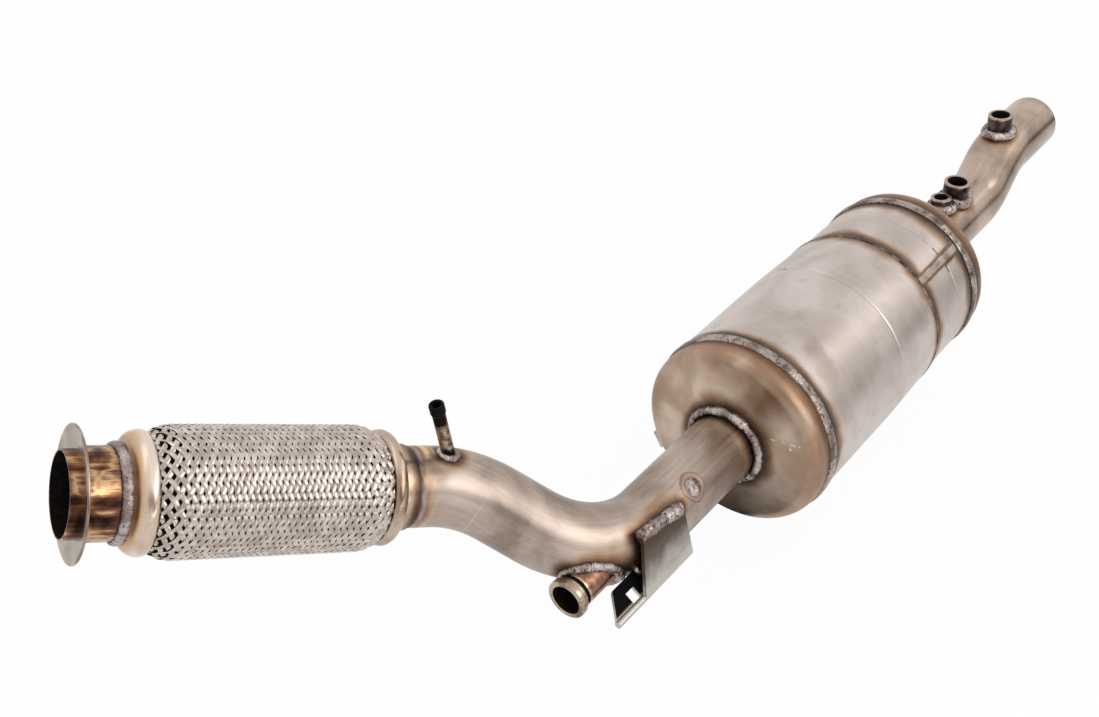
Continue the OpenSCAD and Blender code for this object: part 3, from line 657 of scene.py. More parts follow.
def collarFinish(weldAt):
    look = dict(stops=[(0.0, (16, 11, 10)), (0.24, (54, 36, 29)), (0.42, (94, 62, 47)), (0.56, (138, 97, 68)),
                       (0.7, (202, 164, 122)), (0.84, (122, 84, 76)), (1.0, (86, 62, 58))], edge=(84, 58, 54))
    material, shader, place, run = newFinish("collarSteel")
    streaks = run.stretched((16, 150, 150)).noise(1, 3, 0.6)
    fine = run.stretched((30, 1100, 1100)).noise(1, 2, 0.6)
    clouds = place.noise(46, 2, 0.5, 0.6)
    tone = (streaks - 0.5) * 1.2 + (clouds - 0.5) * 1.7 + 0.5
    colour = tone.ramp([(at, srgb(*rgb)) for at, rgb in look["stops"]])
    edge = (fromRing(place, mouthAt, flexAxis, weldAt - 3 * mm, weldAt) + (streaks - 0.5) * 0.012).ease(9 * mm, 2 * mm)
    colour = (edge * 0.75).mixed(colour, paint(look["edge"]))
    feed(shader, "Base Color", ((fine - 0.5) * 0.4 + 1).shaded(colour))
    feed(shader, "Roughness", streaks * 0.2 + 0.17)
    shader.inputs["Metallic"].default_value = 1.0
    roughen(shader, streaks + fine * 0.5, 0.00008)
    return material


def inletPieces():
    bore = mounts["inlet"]["dims"]["r_mm"] * mm
    out = bore + inletEnd["mouthWall"]
    mouthEnd = span("mouth_tube", mouthAt, flexAxis)[1]
    ringFrom, ringTo = span("flange_ring", mouthAt, flexAxis)
    ringRadius = reach("flange_ring", mouthAt, flexAxis)
    collarFrom, collarTo = span("collar_tube", mouthAt, flexAxis)
    collarRadius = reach("collar_tube", mouthAt, flexAxis)
    hot = collarFinish(collarTo)
    ringSteel = steelFinish("ringSteel", dict(
        light=(176, 160, 145), dark=(130, 114, 100), rough=0.28, cloudScale=34, streak=0.4, grain=(500, 40, 40)))
    mouth = turned("mouthTube", mouthAt, flexAxis, [
        (0, bore, 0.5 * mm), (0, out, 0.5 * mm), (mouthEnd, out), (mouthEnd, bore)])
    dressed(mouth, hot, "tinted_steel", "mouth_tube")
    sooted(mouth, sootAndShade, mouthAt, flexAxis, bore + 0.3 * mm)
    dish = inletEnd["ringDish"]
    wall = inletEnd["ringWall"]
    ring = turned("flangeRing", mouthAt, flexAxis, [
        (ringFrom + dish, out), (ringFrom + dish, collarRadius + 2 * mm, 2 * mm), (ringFrom, ringRadius, 0.7 * mm),
        (ringFrom + wall, ringRadius, 0.7 * mm), (ringTo, collarRadius + 3 * mm, 2 * mm), (ringTo, out)], 128)
    dressed(ring, ringSteel, "pipe", "flange_ring")
    inner = collarRadius - inletEnd["collarWall"]
    collar = turned("collarTube", mouthAt, flexAxis, [
        (collarFrom, inner), (collarFrom, collarRadius), (collarFrom + 9 * mm, collarRadius - 0.15 * mm),
        (collarTo, collarRadius), (collarTo, inner)])
    dressed(collar, hot, "tinted_steel", "collar_tube")
    weldFrom, weldTo = span("collar_weld", mouthAt, flexAxis)
    path = ringPath(mouthAt + flexAxis * (weldFrom + weldTo) / 2, flexAxis, collarRadius)
    look = dict(radius=inletEnd["weldRadius"], step=0.8 * mm, pitch=2.6 * mm, ripple=0.05, lump=0.07,
                jitter=0.25 * mm, rough=1.3 * mm)
    bead = weldBead("collarWeld", path, look, seed=3)
    seated(bead, mouthAt, flexAxis, collarRadius - 0.3 * mm, inletEnd["weldShare"])
    dressed(bead, weldMetal, "weld", "collar_weld")
    print("inlet end done")


inletPieces()

# Flex coupling: two pressed cups and the woven sleeve
flexCups = dict(sheet=1.5 * mm, roll=6.0 * mm, curl=65, frontNeck=7.5 * mm, rearNeck=11 * mm, foot=3 * mm,
                tint=[(0.0, (0.3, 0.15, 0.08)), (0.3, (0.55, 0.33, 0.17)), (0.6, (0.62, 0.44, 0.27)), (1.0, (0.66, 0.54, 0.43))])


def cupPieces():
    frontSteel = steelFinish("frontCupSteel", dict(
        light=(226, 209, 195), dark=(198, 176, 157), rough=0.27, cloudScale=30, streak=0.3, grain=(420, 34, 34),
        heatCover=0.85, heatStops=flexCups["tint"]),
        lambda place: [(fromRing(place, mouthAt, flexAxis, 30 * mm, 38 * mm), 9 * mm)])
    rearSteel = steelFinish("rearCupSteel", dict(
        light=(194, 174, 157), dark=(154, 130, 111), rough=0.26, cloudScale=30, streak=0.3, grain=(420, 34, 34),
        heatCover=0.8),
        lambda place: [(fromRing(place, mouthAt, flexAxis, 238.5 * mm, 250 * mm), 8 * mm)])
    sheet, roll, curl = flexCups["sheet"], flexCups["roll"], flexCups["curl"]
    frontFrom = span("front_cup", mouthAt, flexAxis)[0]
    rearTo = span("rear_cup", mouthAt, flexAxis)[1]
    crest = reach("front_cup", mouthAt, flexAxis)
    centre = crest - roll
    collarRadius = reach("collar_tube", mouthAt, flexAxis)
    neck = collarRadius + sheet + 0.1 * mm
    rollAt = frontFrom + flexCups["frontNeck"] + roll
    foot = flexCups["foot"]
    rise, wide = crest - neck, rollAt - frontFrom - foot
    turns = [math.radians(a) for a in range(10, 90, 10)]
    path = [(frontFrom, neck), (frontFrom + foot * 0.7, neck + 0.3 * mm)]
    path += [(rollAt - wide * math.cos(a), neck + rise * math.sin(a)) for a in turns]
    path += arc((rollAt, centre), roll, 0, curl, 9)
    front = turned("frontCup", mouthAt, flexAxis, walled(path, sheet), 128)
    dressed(front, frontSteel, "pipe", "front_cup")
    rollAt = rearTo - flexCups["rearNeck"] - roll
    neck = pipe["radius"] + sheet + 0.1 * mm
    path = arc((rollAt, centre), roll, -curl, 90, 14)
    path += [(rollAt + roll + 0.6 * mm, neck + 1.4 * mm), (rollAt + roll + 2.2 * mm, neck), (rearTo, neck)]
    rear = turned("rearCup", mouthAt, flexAxis, walled(path, sheet), 128)
    dressed(rear, rearSteel, "pipe", "rear_cup")
    print("cups done")


# Inlet pipe: the same corners as the construction has
pipe = dict(radius=30 * mm, wall=1.5 * mm, firstCorner=292 * mm, linkYaw=-66, linkPitch=-28.8,
            linkLength=122 * mm, bendRadius=90 * mm, markAt=15.3 * mm, markSpot=Vector((226.3, -148.3, -106.9)) * mm)
cupPieces()

braid = dict(strands=24, cover=0.76, endCover=0.64, thick=0.8 * mm, weave=0.48 * mm, middleLean=2.6, endLean=1.45,
             endZone=58 * mm, perCrossing=3, swell=18 * mm, endRadius=37.2 * mm,
             section=[(-0.5, 0.2), (-0.43, 0.6), (-0.16, 0.74), (0.16, 0.74), (0.43, 0.6), (0.5, 0.2), (0.0, -0.4)])


def braidPiece():
    low, high = span("flex_braid", mouthAt, flexAxis)
    full = reach("flex_braid", mouthAt, flexAxis) - 0.5 * mm
    first, second = sideOf(flexAxis)
    count = braid["strands"]

    def eased(z, end, middle):
        part = min(1, max(0, min(z - low, high - z) / braid["endZone"]))
        part = part * part * (3 - 2 * part)
        return end + (middle - end) * part

    def lean(z):
        return eased(z, braid["endLean"], braid["middleLean"])

    def radius(z):
        part = max(0, min(1, (min(z - low, high - z) - 7 * mm) / braid["swell"]))
        return braid["endRadius"] + (full - braid["endRadius"]) * math.sin(math.pi / 2 * part)

    # Stations where the two families of strands have turned by an equal share of a crossing
    step = 0.1 * mm
    stations, turns = [], []
    turn, z, due = 0.0, low, 0.0
    share = math.pi / count / braid["perCrossing"]
    while z < high:
        if turn >= due:
            stations.append(z)
            turns.append(turn)
            due += share
        turn += step * lean(z) / full
        z += step
    chance = random.Random(11)
    clearSelection()
    bpy.ops.mesh.primitive_plane_add(size=mm)
    piece = bpy.context.object
    piece.name = "flexBraid"
    points, faces, marks = [], [], []
    section = braid["section"]
    for family in (1, -1):
        for strand in range(count):
            drift = chance.uniform(-0.035, 0.035)
            begin = len(points)
            for k, (z, turn) in enumerate(zip(stations, turns)):
                angle = 2 * math.pi * (strand + drift) / count + family * turn
                over = family * math.cos(turn * count)
                r = radius(z) + braid["weave"] * over
                out = first * math.cos(angle) + second * math.sin(angle)
                around = flexAxis.cross(out)
                slope = lean(z)
                apart = 2 * math.pi * r / count / math.hypot(1, slope)
                width = apart * eased(z, braid["endCover"], braid["cover"])
                side = (around - flexAxis * (family * slope)).normalized()
                centre = mouthAt + flexAxis * z + out * r
                for across, up in section:
                    points.append(centre + side * (across * width) + out * (up * braid["thick"]))
                    marks += [z, across + 0.5, up]
                if k:
                    base = len(points) - 2 * len(section)
                    for s in range(len(section)):
                        n = (s + 1) % len(section)
                        faces.append((base + s, base + n, base + len(section) + n, base + len(section) + s))
            last = len(points) - len(section)
            faces.append(tuple(range(begin, begin + len(section)))[::-1])
            faces.append(tuple(range(last, last + len(section))))
    piece.data.clear_geometry()
    piece.data.from_pydata(points, [], faces)
    setRun(piece, marks)
    pick(piece)
    edit()
    bpy.ops.mesh.normals_make_consistent(inside=False)
    clearSelection()
    smooth(piece, 50)
    dressed(piece, braidFinish(), "braid", "flex_braid")
    print("braid done", len(piece.data.polygons))


braidPiece()
# Painted shade: the bellows under the woven sleeve is painted near-black, the shade under the strands
bellowsShade = plainFinish("bellowsPaintedShade", (34, 29, 26), (14, 12, 11), 0.6, 0.6, 90)
for name in ("flex_bellows", "flex_liner"):
    frame["nodes"][name].data.materials.clear()
    frame["nodes"][name].data.materials.append(bellowsShade if name == "flex_bellows" else sootAndShade)

# Pipes
linkAxis = heading(pipe["linkYaw"], pipe["linkPitch"])
bendA = mouthAt + flexAxis * pipe["firstCorner"]
bendB = bendA + linkAxis * pipe["linkLength"]
domeFrom, domeTo = span("inlet_dome", canStart, canAxis)
shellFrom, shellTo = span("main_shell", canStart, canAxis)
rearFrom, rearTo = span("rear_shell", canStart, canAxis)
capFrom, capTo = span("outlet_cap", canStart, canAxis)
canRadius = reach("inlet_dome", canStart, canAxis)
rearRadius = reach("rear_shell", canStart, canAxis)
tapAt = Vector(mounts["pressure_tap"]["pos_m"])
tapAxis = Vector(mounts["pressure_tap"]["axis"]).normalized()
bracketBead = dict(first=Vector((304.7, -243.3, -131.6)) * mm, last=Vector((356.7, -245.9, -139.2)) * mm,
                   radius=5.4 * mm, farLean=33, nearLean=19, fold=Vector((0, -37.2, -15.2)) * mm)
plugWeld = dict(along=94 * mm, turn=41, radius=7.6 * mm, height=2.2 * mm)
plugAxis = Vector((0, -math.sin(math.radians(plugWeld["turn"])), math.cos(math.radians(plugWeld["turn"]))))
plugAt = bendB + canAxis * plugWeld["along"]


def pipeHeat(place):
    cupEnd = span("rear_cup", mouthAt, flexAxis)[1]
    return [(fromRing(place, mouthAt, flexAxis, cupEnd - 12 * mm, cupEnd + 1.2 * mm), 17 * mm),
            (fromTube(place, tapAt, tapAxis, 8 * mm), 15 * mm),
            (fromTube(place, portAt, canAxis, 17 * mm).highest(fromRing(place, portAt, canAxis, 0, 60 * mm)), 14 * mm),
            (fromBead(place, bracketBead["first"], bracketBead["last"], bracketBead["radius"]), 15 * mm),
            (fromTube(place, plugAt, plugAxis, 8 * mm), 8 * mm),
            # Heat tint and painted shade: this ring starts 6.6 mm before the dome's neck, so a black band shows beside
            # the weld bead
            (fromRing(place, canStart, canAxis, domeFrom - 6.6 * mm, domeTo), 14 * mm)]


def pipeMarks(place):  # tints of the rear cup's weld, and the two grip marks of the bend
    cupEnd = span("rear_cup", mouthAt, flexAxis)[1]
    along = place.wobbled(60, 0.006).vector("SUBTRACT", tuple(mouthAt)).dot(flexAxis)
    patch = place.noise(34, 2, 0.5).ease(0.4, 0.6)
    bands = [(2, (92, 60, 42)), (6, (170, 175, 182)), (9.5, (164, 88, 74)), (14, (222, 204, 140)), (19, (196, 152, 118))]
    marks = [((along - cupEnd - off * mm).maths("ABSOLUTE").ease(3 * mm, 0.4 * mm) * patch * 0.8, colour)
             for off, colour in bands]
    facing = place.vector("SUBTRACT", tuple(plugAt)).dot(plugAxis).ease(0, 9 * mm)
    ring = fromTube(place.wobbled(90, 0.004), plugAt, plugAxis, 0)
    marks.append((ring.ease(12.5 * mm, 11 * mm) * facing * 0.5, (184, 162, 148)))
    marks.append(((ring - 11.6 * mm).maths("ABSOLUTE").ease(1.5 * mm, 0.3 * mm) * facing * 0.6, (112, 82, 66)))
    mark = place.vector("SUBTRACT", tuple(bendA)).dot(linkAxis) - pipe["markAt"]
    near = place.vector("SUBTRACT", tuple(pipe["markSpot"])).size().ease(27 * mm, 6 * mm)
    marks.append((mark.maths("ABSOLUTE").ease(0.6 * mm, 0.1 * mm) * near * 0.4, (232, 214, 200)))
    return marks


def pipePieces():
    finish = steelFinish("pipeSteel", dict(
        light=(182, 166, 154), dark=(136, 119, 107), rough=0.37, cloudScale=17, streak=0.5, grain=(12, 300, 300)),
        pipeHeat, pipeMarks)
    start = mouthAt + flexAxis * span("inlet_pipe", mouthAt, flexAxis)[0]
    end = canStart + canAxis * span("inlet_pipe", canStart, canAxis)[1]
    stops = [start, bendA, bendB, end]
    tube = sweptTube("inletPipe", stops, pipe["bendRadius"], pipe["radius"], 80, 18)
    applied(tube, "SOLIDIFY", {"thickness": pipe["wall"], "offset": -1})
    holes = [rod("portHole", portAt, canAxis, 0, 60 * mm, 12 * mm), rod("tapHole", tapAt, tapAxis, -40 * mm, 0, 3.5 * mm)]
    cutAway(tube, holes)
    dropped(*holes)
    smooth(tube, 30)
    pathMarked(tube, bentPath(stops, pipe["bendRadius"]))
    dressed(tube, finish, "pipe", "inlet_pipe")
    print("inlet pipe done", len(tube.data.vertices))
    return tube, stops


inletTube, inletStops = pipePieces()

joggle = dict(lead=140 * mm, length=52 * mm, step=27 * mm, lean=11, bendRadius=72 * mm, wall=1.5 * mm)
bossNames = {"sensor_boss": "sensorBoss", "small_boss": "smallBoss", "end_boss": "endBoss"}
bosses = dict(chamfer=0.9 * mm, outer={"sensor_boss": 12.8 * mm, "small_boss": 10.2 * mm, "end_boss": 12.5 * mm},
              threadPitch=1.5 * mm, threadDepth=0.55 * mm, weldRadius=5.2 * mm, weldRise=2.6 * mm)


def outletHeat(place):
    heat = [(fromRing(place, canStart, canAxis, capFrom, capTo + 4 * mm), 14 * mm)]
    for name, radius in bosses["outer"].items():
        axis = Vector(mounts[name]["axis"]).normalized()
        heat.append((fromTube(place, Vector(mounts[name]["pos_m"]), axis, radius + 1 * mm), 16 * mm))
    return heat


def outletPieces():
    radius = mounts["outlet"]["dims"]["r_mm"] * mm
    tip = Vector(mounts["outlet"]["pos_m"])
    finish = steelFinish("outletSteel", dict(
        light=(186, 167, 153), dark=(148, 128, 113), rough=0.27, cloudScale=20, streak=0.45, grain=(12, 300, 300)),
        outletHeat)
    lean = math.radians(joggle["lean"])
    first = canStart + canAxis * (capTo + joggle["lead"])
    second = first + canAxis * joggle["length"] + Vector((0, math.sin(lean), math.cos(lean))) * joggle["step"]
    start = canStart + canAxis * span("outlet_pipe", canStart, canAxis)[0]
    stops = [start, first, second, tip]
    tube = sweptTube("outletPipe", stops, joggle["bendRadius"], radius, 80, 14)
    applied(tube, "SOLIDIFY", {"thickness": joggle["wall"], "offset": -1})
    core = capped(sweptTube("pipeCore", stops, joggle["bendRadius"], radius - 0.4 * mm, 64, 14))
    holes = []
    for name in bossNames:
        axis = Vector(mounts[name]["axis"]).normalized()
        holes.append(rod(name + "Hole", Vector(mounts[name]["pos_m"]), axis, -40 * mm, 0,
                         mounts[name]["dims"]["r_mm"] * mm + 0.6 * mm))
    cutAway(tube, holes)
    dropped(*holes)
    smooth(tube, 30)
    pathMarked(tube, bentPath(stops, joggle["bendRadius"]))
    dressed(tube, finish, "pipe", "outlet_pipe")
    sootFaces(tube, bentPath(stops, joggle["bendRadius"]), radius - 0.5 * joggle["wall"])
    for name, pieceName in bossNames.items():
        bossPiece(name, pieceName, tube, core)
    dropped(core)
    print("outlet pipe and bosses done")
    return tube


def sootFaces(piece, path, radius):  # soot and painted shade on the inner wall of a swept tube
    piece.data.materials.append(sootAndShade)
    for face in piece.data.polygons:
        near = min(path, key=lambda p: (p - face.center).length_squared)
        if (near - face.center).length < radius:
            face.material_index = 1


def bossPiece(name, pieceName, tube, core):
    mouth = Vector(mounts[name]["pos_m"])
    axis = Vector(mounts[name]["axis"]).normalized()
    thread = mounts[name]["dims"]["r_mm"] * mm
    deep = mounts[name]["dims"]["length_mm"] * mm
    outer, chamfer = bosses["outer"][name], bosses["chamfer"]
    section = [(-deep - 4 * mm, outer), (0, outer, chamfer), (0, thread + 1.4 * mm, 0.3 * mm), (-1.4 * mm, thread)]
    pitch, depth = bosses["threadPitch"], bosses["threadDepth"]
    at = -1.4 * mm
    while at - pitch > -deep - 4 * mm:
        section += [(at - pitch / 2, thread + depth), (at - pitch, thread)]
        at -= pitch
    section.append((-deep - 4 * mm, thread))
    piece = turned(pieceName, mouth, axis, section, 64)
    cutAway(piece, [core])
    smooth(piece, 32)
    marked(piece, mouth, axis)
    dressed(piece, darkSteel, "boss", name)
    sooted(piece, sootAndShade, mouth, axis, thread + 1.2 * mm)
    look = dict(radius=bosses["weldRadius"], step=0.8 * mm, pitch=2.1 * mm, ripple=0.07, lump=0.12, jitter=0.3 * mm,
                rough=1.5 * mm)
    path = [at + axis * bosses["weldRise"] for at in saddlePath(tube, mouth, axis, outer + 0.2 * mm)]
    bead = weldBead(pieceName + "Weld", path, look, seed=len(name))
    dressed(bead, weldMetal, "weld", name + "_weld")


outletTube = outletPieces()

# Pressure pipe, dosing port, bracket and plug weld on the inlet pipe
tap = dict(radius=5 * mm, bore=3.5 * mm, bead=5.8 * mm, length=50 * mm, beadLength=8 * mm, weldRadius=2.7 * mm)
port = dict(bore=12 * mm, ring=16.5 * mm, ringLength=5.5 * mm, step=15.2 * mm, stepLength=3 * mm, groove=13.2 * mm,
            grooveLength=4 * mm, tube=14 * mm, reach=58 * mm, weldRadius=4.2 * mm,
            tint=[(0.0, (0.2, 0.09, 0.05)), (0.1, (0.42, 0.21, 0.13)), (0.22, (0.5, 0.31, 0.22)),
                  (0.4, (0.55, 0.42, 0.26)), (0.7, (0.54, 0.44, 0.33))])


def tapPiece():
    material, shader, place, run = newFinish("tapDarkTopShadowFoot")
    along = run.node("ShaderNodeSeparateXYZ", {}, {0: run}, 0)
    patches = place.noise(260, 4, 0.6)
    colour = patches.ease(0.4, 0.62).mixed(paint((112, 90, 72)), paint((186, 170, 152)))
    # Near-black from 29 mm up to the top of the tube; at the foot beside the weld the near-black is painted shadow
    dark = (along + (patches - 0.5) * 0.014).ease(29 * mm, 34 * mm)
    foot = (along + (patches - 0.5) * 0.012).ease(10 * mm, 6 * mm)
    colour = dark.highest(foot).mixed(colour, paint((20, 17, 16)))
    feed(shader, "Base Color", colour)
    feed(shader, "Roughness", patches * 0.3 + 0.25 + dark * 0.15)
    shader.inputs["Metallic"].default_value = 0.9
    roughen(shader, patches, 0.0003)
    foot = tapAt + tapAxis * (span("tap_tube", tapAt, tapAxis)[1] - tap["length"])
    long, bead = tap["length"], tap["beadLength"]
    section = [(-9 * mm, tap["radius"]), (long - bead - 1.5 * mm, tap["radius"], mm),
               (long - bead + 0.5 * mm, tap["bead"], mm), (long, tap["bead"], 2.2 * mm), (long, tap["bore"], 0.4 * mm),
               (-9 * mm, tap["bore"])]
    piece = turned("tapTube", foot, tapAxis, section, 40)
    core = capped(sweptTube("pipeCore", inletStops, pipe["bendRadius"], pipe["radius"] - 0.4 * mm, 64, 18))
    cutAway(piece, [core])
    smooth(piece, 35)
    marked(piece, foot, tapAxis)
    dressed(piece, material, "tinted_steel", "tap_tube")
    sooted(piece, sootAndShade, foot, tapAxis, tap["bore"] + 0.3 * mm)
    look = dict(radius=tap["weldRadius"], step=0.7 * mm, pitch=2 * mm, ripple=0.1, lump=0.2, jitter=0.3 * mm,
                rough=1.4 * mm)
    path = saddlePath(inletTube, foot + tapAxis * 30 * mm, tapAxis, tap["radius"] + 0.7 * mm, 50)
    bead = weldBead("tapWeld", path, look, seed=5)
    dressed(bead, weldMetal, "weld", "tap_weld")
    return core


def portPiece(core):
    hot = steelFinish("portSteel", dict(
        light=(190, 170, 152), dark=(150, 128, 110), rough=0.22, cloudScale=70, streak=0.3, grain=(300, 60, 60),
        heatCover=0.9, heatStops=port["tint"], patchScale=60),
        lambda place: [(fromRing(place, portAt, canAxis, 15 * mm, 60 * mm), 4 * mm)],
        lambda place: [(place.noise(80, 3, 0.6).ease(0.5, 0.66) * 0.6, (46, 32, 26))])
    ringEnd = port["ringLength"]
    stepEnd = ringEnd + port["stepLength"]
    grooveEnd = stepEnd + port["grooveLength"]
    section = [(0, port["bore"], 0.8 * mm), (0, port["ring"], 1.2 * mm), (ringEnd, port["ring"], 0.8 * mm),
               (ringEnd + 0.3 * mm, port["step"]), (stepEnd, port["step"], 0.6 * mm), (stepEnd + 0.3 * mm, port["groove"]),
               (grooveEnd - 0.3 * mm, port["groove"]), (grooveEnd, port["tube"], 0.4 * mm),
               (port["reach"], port["tube"]), (port["reach"], port["bore"])]
    piece = turned("dosingPort", portAt, canAxis, section, 80)
    cutAway(piece, [core])
    smooth(piece, 35)
    marked(piece, portAt, canAxis)
    dressed(piece, hot, "tinted_steel", "dosing_port")
    sooted(piece, sootAndShade, portAt, canAxis, port["bore"] + 0.4 * mm)
    # Painted shade: the groove between the step and the tube gets the near-black bore finish
    for face in piece.data.polygons:
        if stepEnd < (face.center - portAt).dot(canAxis) < grooveEnd:
            face.material_index = 1
    look = dict(radius=port["weldRadius"], step=0.8 * mm, pitch=2.8 * mm, ripple=0.06, lump=0.12, jitter=0.3 * mm,
                rough=1.6 * mm)
    path = saddlePath(inletTube, portAt, -canAxis, port["tube"] + 1.2 * mm)
    bead = weldBead("portWeld", path, look, seed=8)
    dressed(bead, weldMetal, "weld", "port_weld")


pipeCore = tapPiece()
portPiece(pipeCore)
dropped(pipeCore)


def bracketPieces():
    far, near = math.radians(bracketBead["farLean"]), math.radians(bracketBead["nearLean"])
    farOut = Vector((0, -math.sin(far), math.cos(far)))
    nearUp = Vector((0, math.sin(near), math.cos(near)))
    zinc = zincFinish(farOut, bendB + bracketBead["fold"], nearUp)
    for name in ("bracket", "lug"):
        node = frame["nodes"][name]
        node.data.materials.clear()
        node.data.materials.append(zinc)
    look = dict(radius=bracketBead["radius"], step=0.8 * mm, pitch=3 * mm, ripple=0.06, lump=0.14, jitter=0.4 * mm,
                rough=2.0 * mm)
    bead = weldBead("bracketWeld", [bracketBead["first"], bracketBead["last"]], look, False, 4)
    dressed(bead, weldMetal, "weld", "bracket_weld")
    tacks = [Vector((300.2, -244.3, -164.9)) * mm, Vector((312.2, -246.8, -166.6)) * mm]
    look = dict(radius=3.4 * mm, step=0.7 * mm, pitch=2 * mm, ripple=0.15, lump=0.2, jitter=0.3 * mm, rough=1.5 * mm)
    pieces = [weldBead("bracketTack" + str(k), [at, at + canAxis * 4 * mm], look, False, 6 + k)
              for k, at in enumerate(tacks)]
    for piece in pieces:
        dressed(piece, weldMetal, "weld", "bracket_tacks")
    big, height = plugWeld["radius"], plugWeld["height"]
    foot = plugAt + plugAxis * (pipe["radius"] - 0.8 * mm)
    plug = turned("plugWeld", foot, plugAxis, [
        (0, 0.05 * mm), (0, big), (0.8 * mm, big, 0.6 * mm), (height + 0.2 * mm, big * 0.72, 2 * mm),
        (height + 0.8 * mm, big * 0.3, 1 * mm), (height + 0.5 * mm, 0.05 * mm)], 48)
    applied(plug, "DISPLACE", {"texture": lumps, "strength": 1.1 * mm, "mid_level": 0.5})
    dressed(plug, weldMetal, "weld", "plug_weld")
    print("bracket and welds done")


bracketPieces()

# The can
can = dict(sheet=1.5 * mm, knuckle=12 * mm, domeRise=6 * mm, skirt=8.5 * mm, straight=131 * mm, lap=9 * mm,
           capSkirt=14 * mm, capRise=18 * mm, rearStraight=48 * mm, taper=0.5 * mm, groove=0.6 * mm,
           rimRadius=5.0 * mm, rimShare=0.42, jointRadius=2.6 * mm, jointShare=0.7, neckRadius=5 * mm, seamTurn=42,
           seamHalf=4 * mm, seamProud=0.7 * mm)
canTurn = math.radians(can["seamTurn"])
seamOut = Vector((0, -math.sin(canTurn), math.cos(canTurn)))
seamFirst, seamLast = [canStart + seamOut * rearRadius + canAxis * at for at in span("seam_strip", canStart, canAxis)]


def canHeat(place):
    return [(fromRing(place, canStart, canAxis, domeTo - 2 * mm, domeTo + 11 * mm), 12 * mm),
            (fromRing(place, canStart, canAxis, shellTo + 2 * mm, shellTo + 5 * mm), 16 * mm),
            (fromRing(place, canStart, canAxis, rearTo - 7 * mm, rearTo + 8 * mm), 17 * mm),
            (fromBead(place, seamFirst, seamLast, can["seamHalf"] - 0.5 * mm), 6 * mm),
            (fromTube(place, canStart, canAxis, 38 * mm).highest(
                fromRing(place, canStart, canAxis, domeFrom - 5 * mm, domeFrom + 6 * mm)), 14 * mm),
            (fromTube(place, canStart, canAxis, 36 * mm).highest(
                fromRing(place, canStart, canAxis, capTo - 6 * mm, capTo + 5 * mm)), 14 * mm)]


# Smudge on the shell and scratches on the dome, each round a line through two points
canMarks = dict(smudge=(Vector((529, -256, -84)) * mm, Vector((526, -272, -94)) * mm, (134, 113, 101)),
                scratches=[(Vector((465, -262, -137)) * mm, Vector((468, -289, -134)) * mm),
                           (Vector((465, -272, -133)) * mm, Vector((467, -280, -139)) * mm)],
                nick=(Vector((625, -165, -98)) * mm, Vector((621, -178, -89)) * mm, (96, 80, 70)), bright=(240, 228, 216))


def shellMarks(place):
    first, last, colour = canMarks["smudge"]
    cover = fromBead(place.wobbled(40, 0.025), first, last, 0).ease(17 * mm, 3 * mm)
    worn = place.noise(60, 4, 0.6).ease(0.52, 0.72)
    marks = [(cover * 0.55, colour), (worn * 0.22, (150, 132, 121))]
    first, last, colour = canMarks["nick"]
    marks.append((fromBead(place.wobbled(160, 0.004), first, last, 0).ease(1.2 * mm, 0.3 * mm) * 0.7, colour))
    return marks


def domeMarks(place):
    patch = place.noise(26, 2, 0.5)
    edge = place.vector("SUBTRACT", tuple(canStart)).vector("CROSS_PRODUCT", tuple(canAxis)).size()
    edge = (edge + (patch - 0.5) * 0.06).ease(60 * mm, 86 * mm)
    marks = [(edge * 0.55, (132, 96, 72))]
    for first, last in canMarks["scratches"]:
        cover = fromBead(place.wobbled(160, 0.006), first, last, 0).ease(0.9 * mm, 0.2 * mm)
        marks.append((cover * 0.8, canMarks["bright"]))
    return marks


def canPieces():
    sheetSteel = steelFinish("canSteel", dict(
        light=(206, 196, 189), dark=(184, 171, 163), rough=0.4, cloudScale=12, streak=0.2, grain=(240, 14, 14)),
        canHeat, shellMarks)
    domeSteel = steelFinish("domeSteel", dict(
        light=(214, 195, 178), dark=(168, 143, 123), rough=0.4, cloudScale=19, streak=0.2, grain=(160, 26, 26)),
        canHeat, domeMarks)
    sheet, knuckle = can["sheet"], can["knuckle"]
    neck = pipe["radius"] + 0.3 * mm
    bend = domeFrom + can["domeRise"] + knuckle
    path = [(domeFrom, neck)] + arc((bend, canRadius - knuckle), knuckle, -90, 0, 10) + [(domeTo, canRadius)]
    dome = turned("inletDome", canStart, canAxis, walled(path, sheet), 160)
    dressed(dome, domeSteel, "can", "inlet_dome")
    crease = shellFrom + can["straight"]
    sleeve = rearRadius + sheet + 0.1 * mm
    groove = can["groove"]
    path = [(shellFrom, canRadius), (crease - 1.7 * mm, canRadius), (crease - 0.2 * mm, canRadius - groove),
            (crease + 0.2 * mm, canRadius - groove), (crease + 1.7 * mm, canRadius - 0.05 * mm),
            (rearFrom, sleeve), (shellTo, sleeve)]
    shell = turned("mainShell", canStart, canAxis, walled(path, sheet), 160)
    smooth(shell, 8)
    dressed(shell, sheetSteel, "can", "main_shell")
    crease = shellTo + can["rearStraight"]
    tail = rearRadius - can["taper"]
    path = [(rearFrom, rearRadius), (crease - 1.7 * mm, rearRadius), (crease - 0.2 * mm, rearRadius - groove),
            (crease + 0.2 * mm, rearRadius - groove), (crease + 1.7 * mm, rearRadius - 0.1 * mm), (rearTo, tail)]
    rear = turned("rearShell", canStart, canAxis, walled(path, sheet), 160)
    smooth(rear, 8)
    dressed(rear, sheetSteel, "can", "rear_shell")
    outletRadius = mounts["outlet"]["dims"]["r_mm"] * mm
    bend = capFrom + can["capSkirt"]
    path = [(capFrom, tail)] + arc((bend, tail - knuckle), knuckle, 0, 90, 10)
    path.append((capTo, outletRadius + 0.7 * mm))
    cap = turned("outletCap", canStart, canAxis, walled(path, sheet), 160)
    dressed(cap, domeSteel, "can", "outlet_cap")
    print("can shells done")


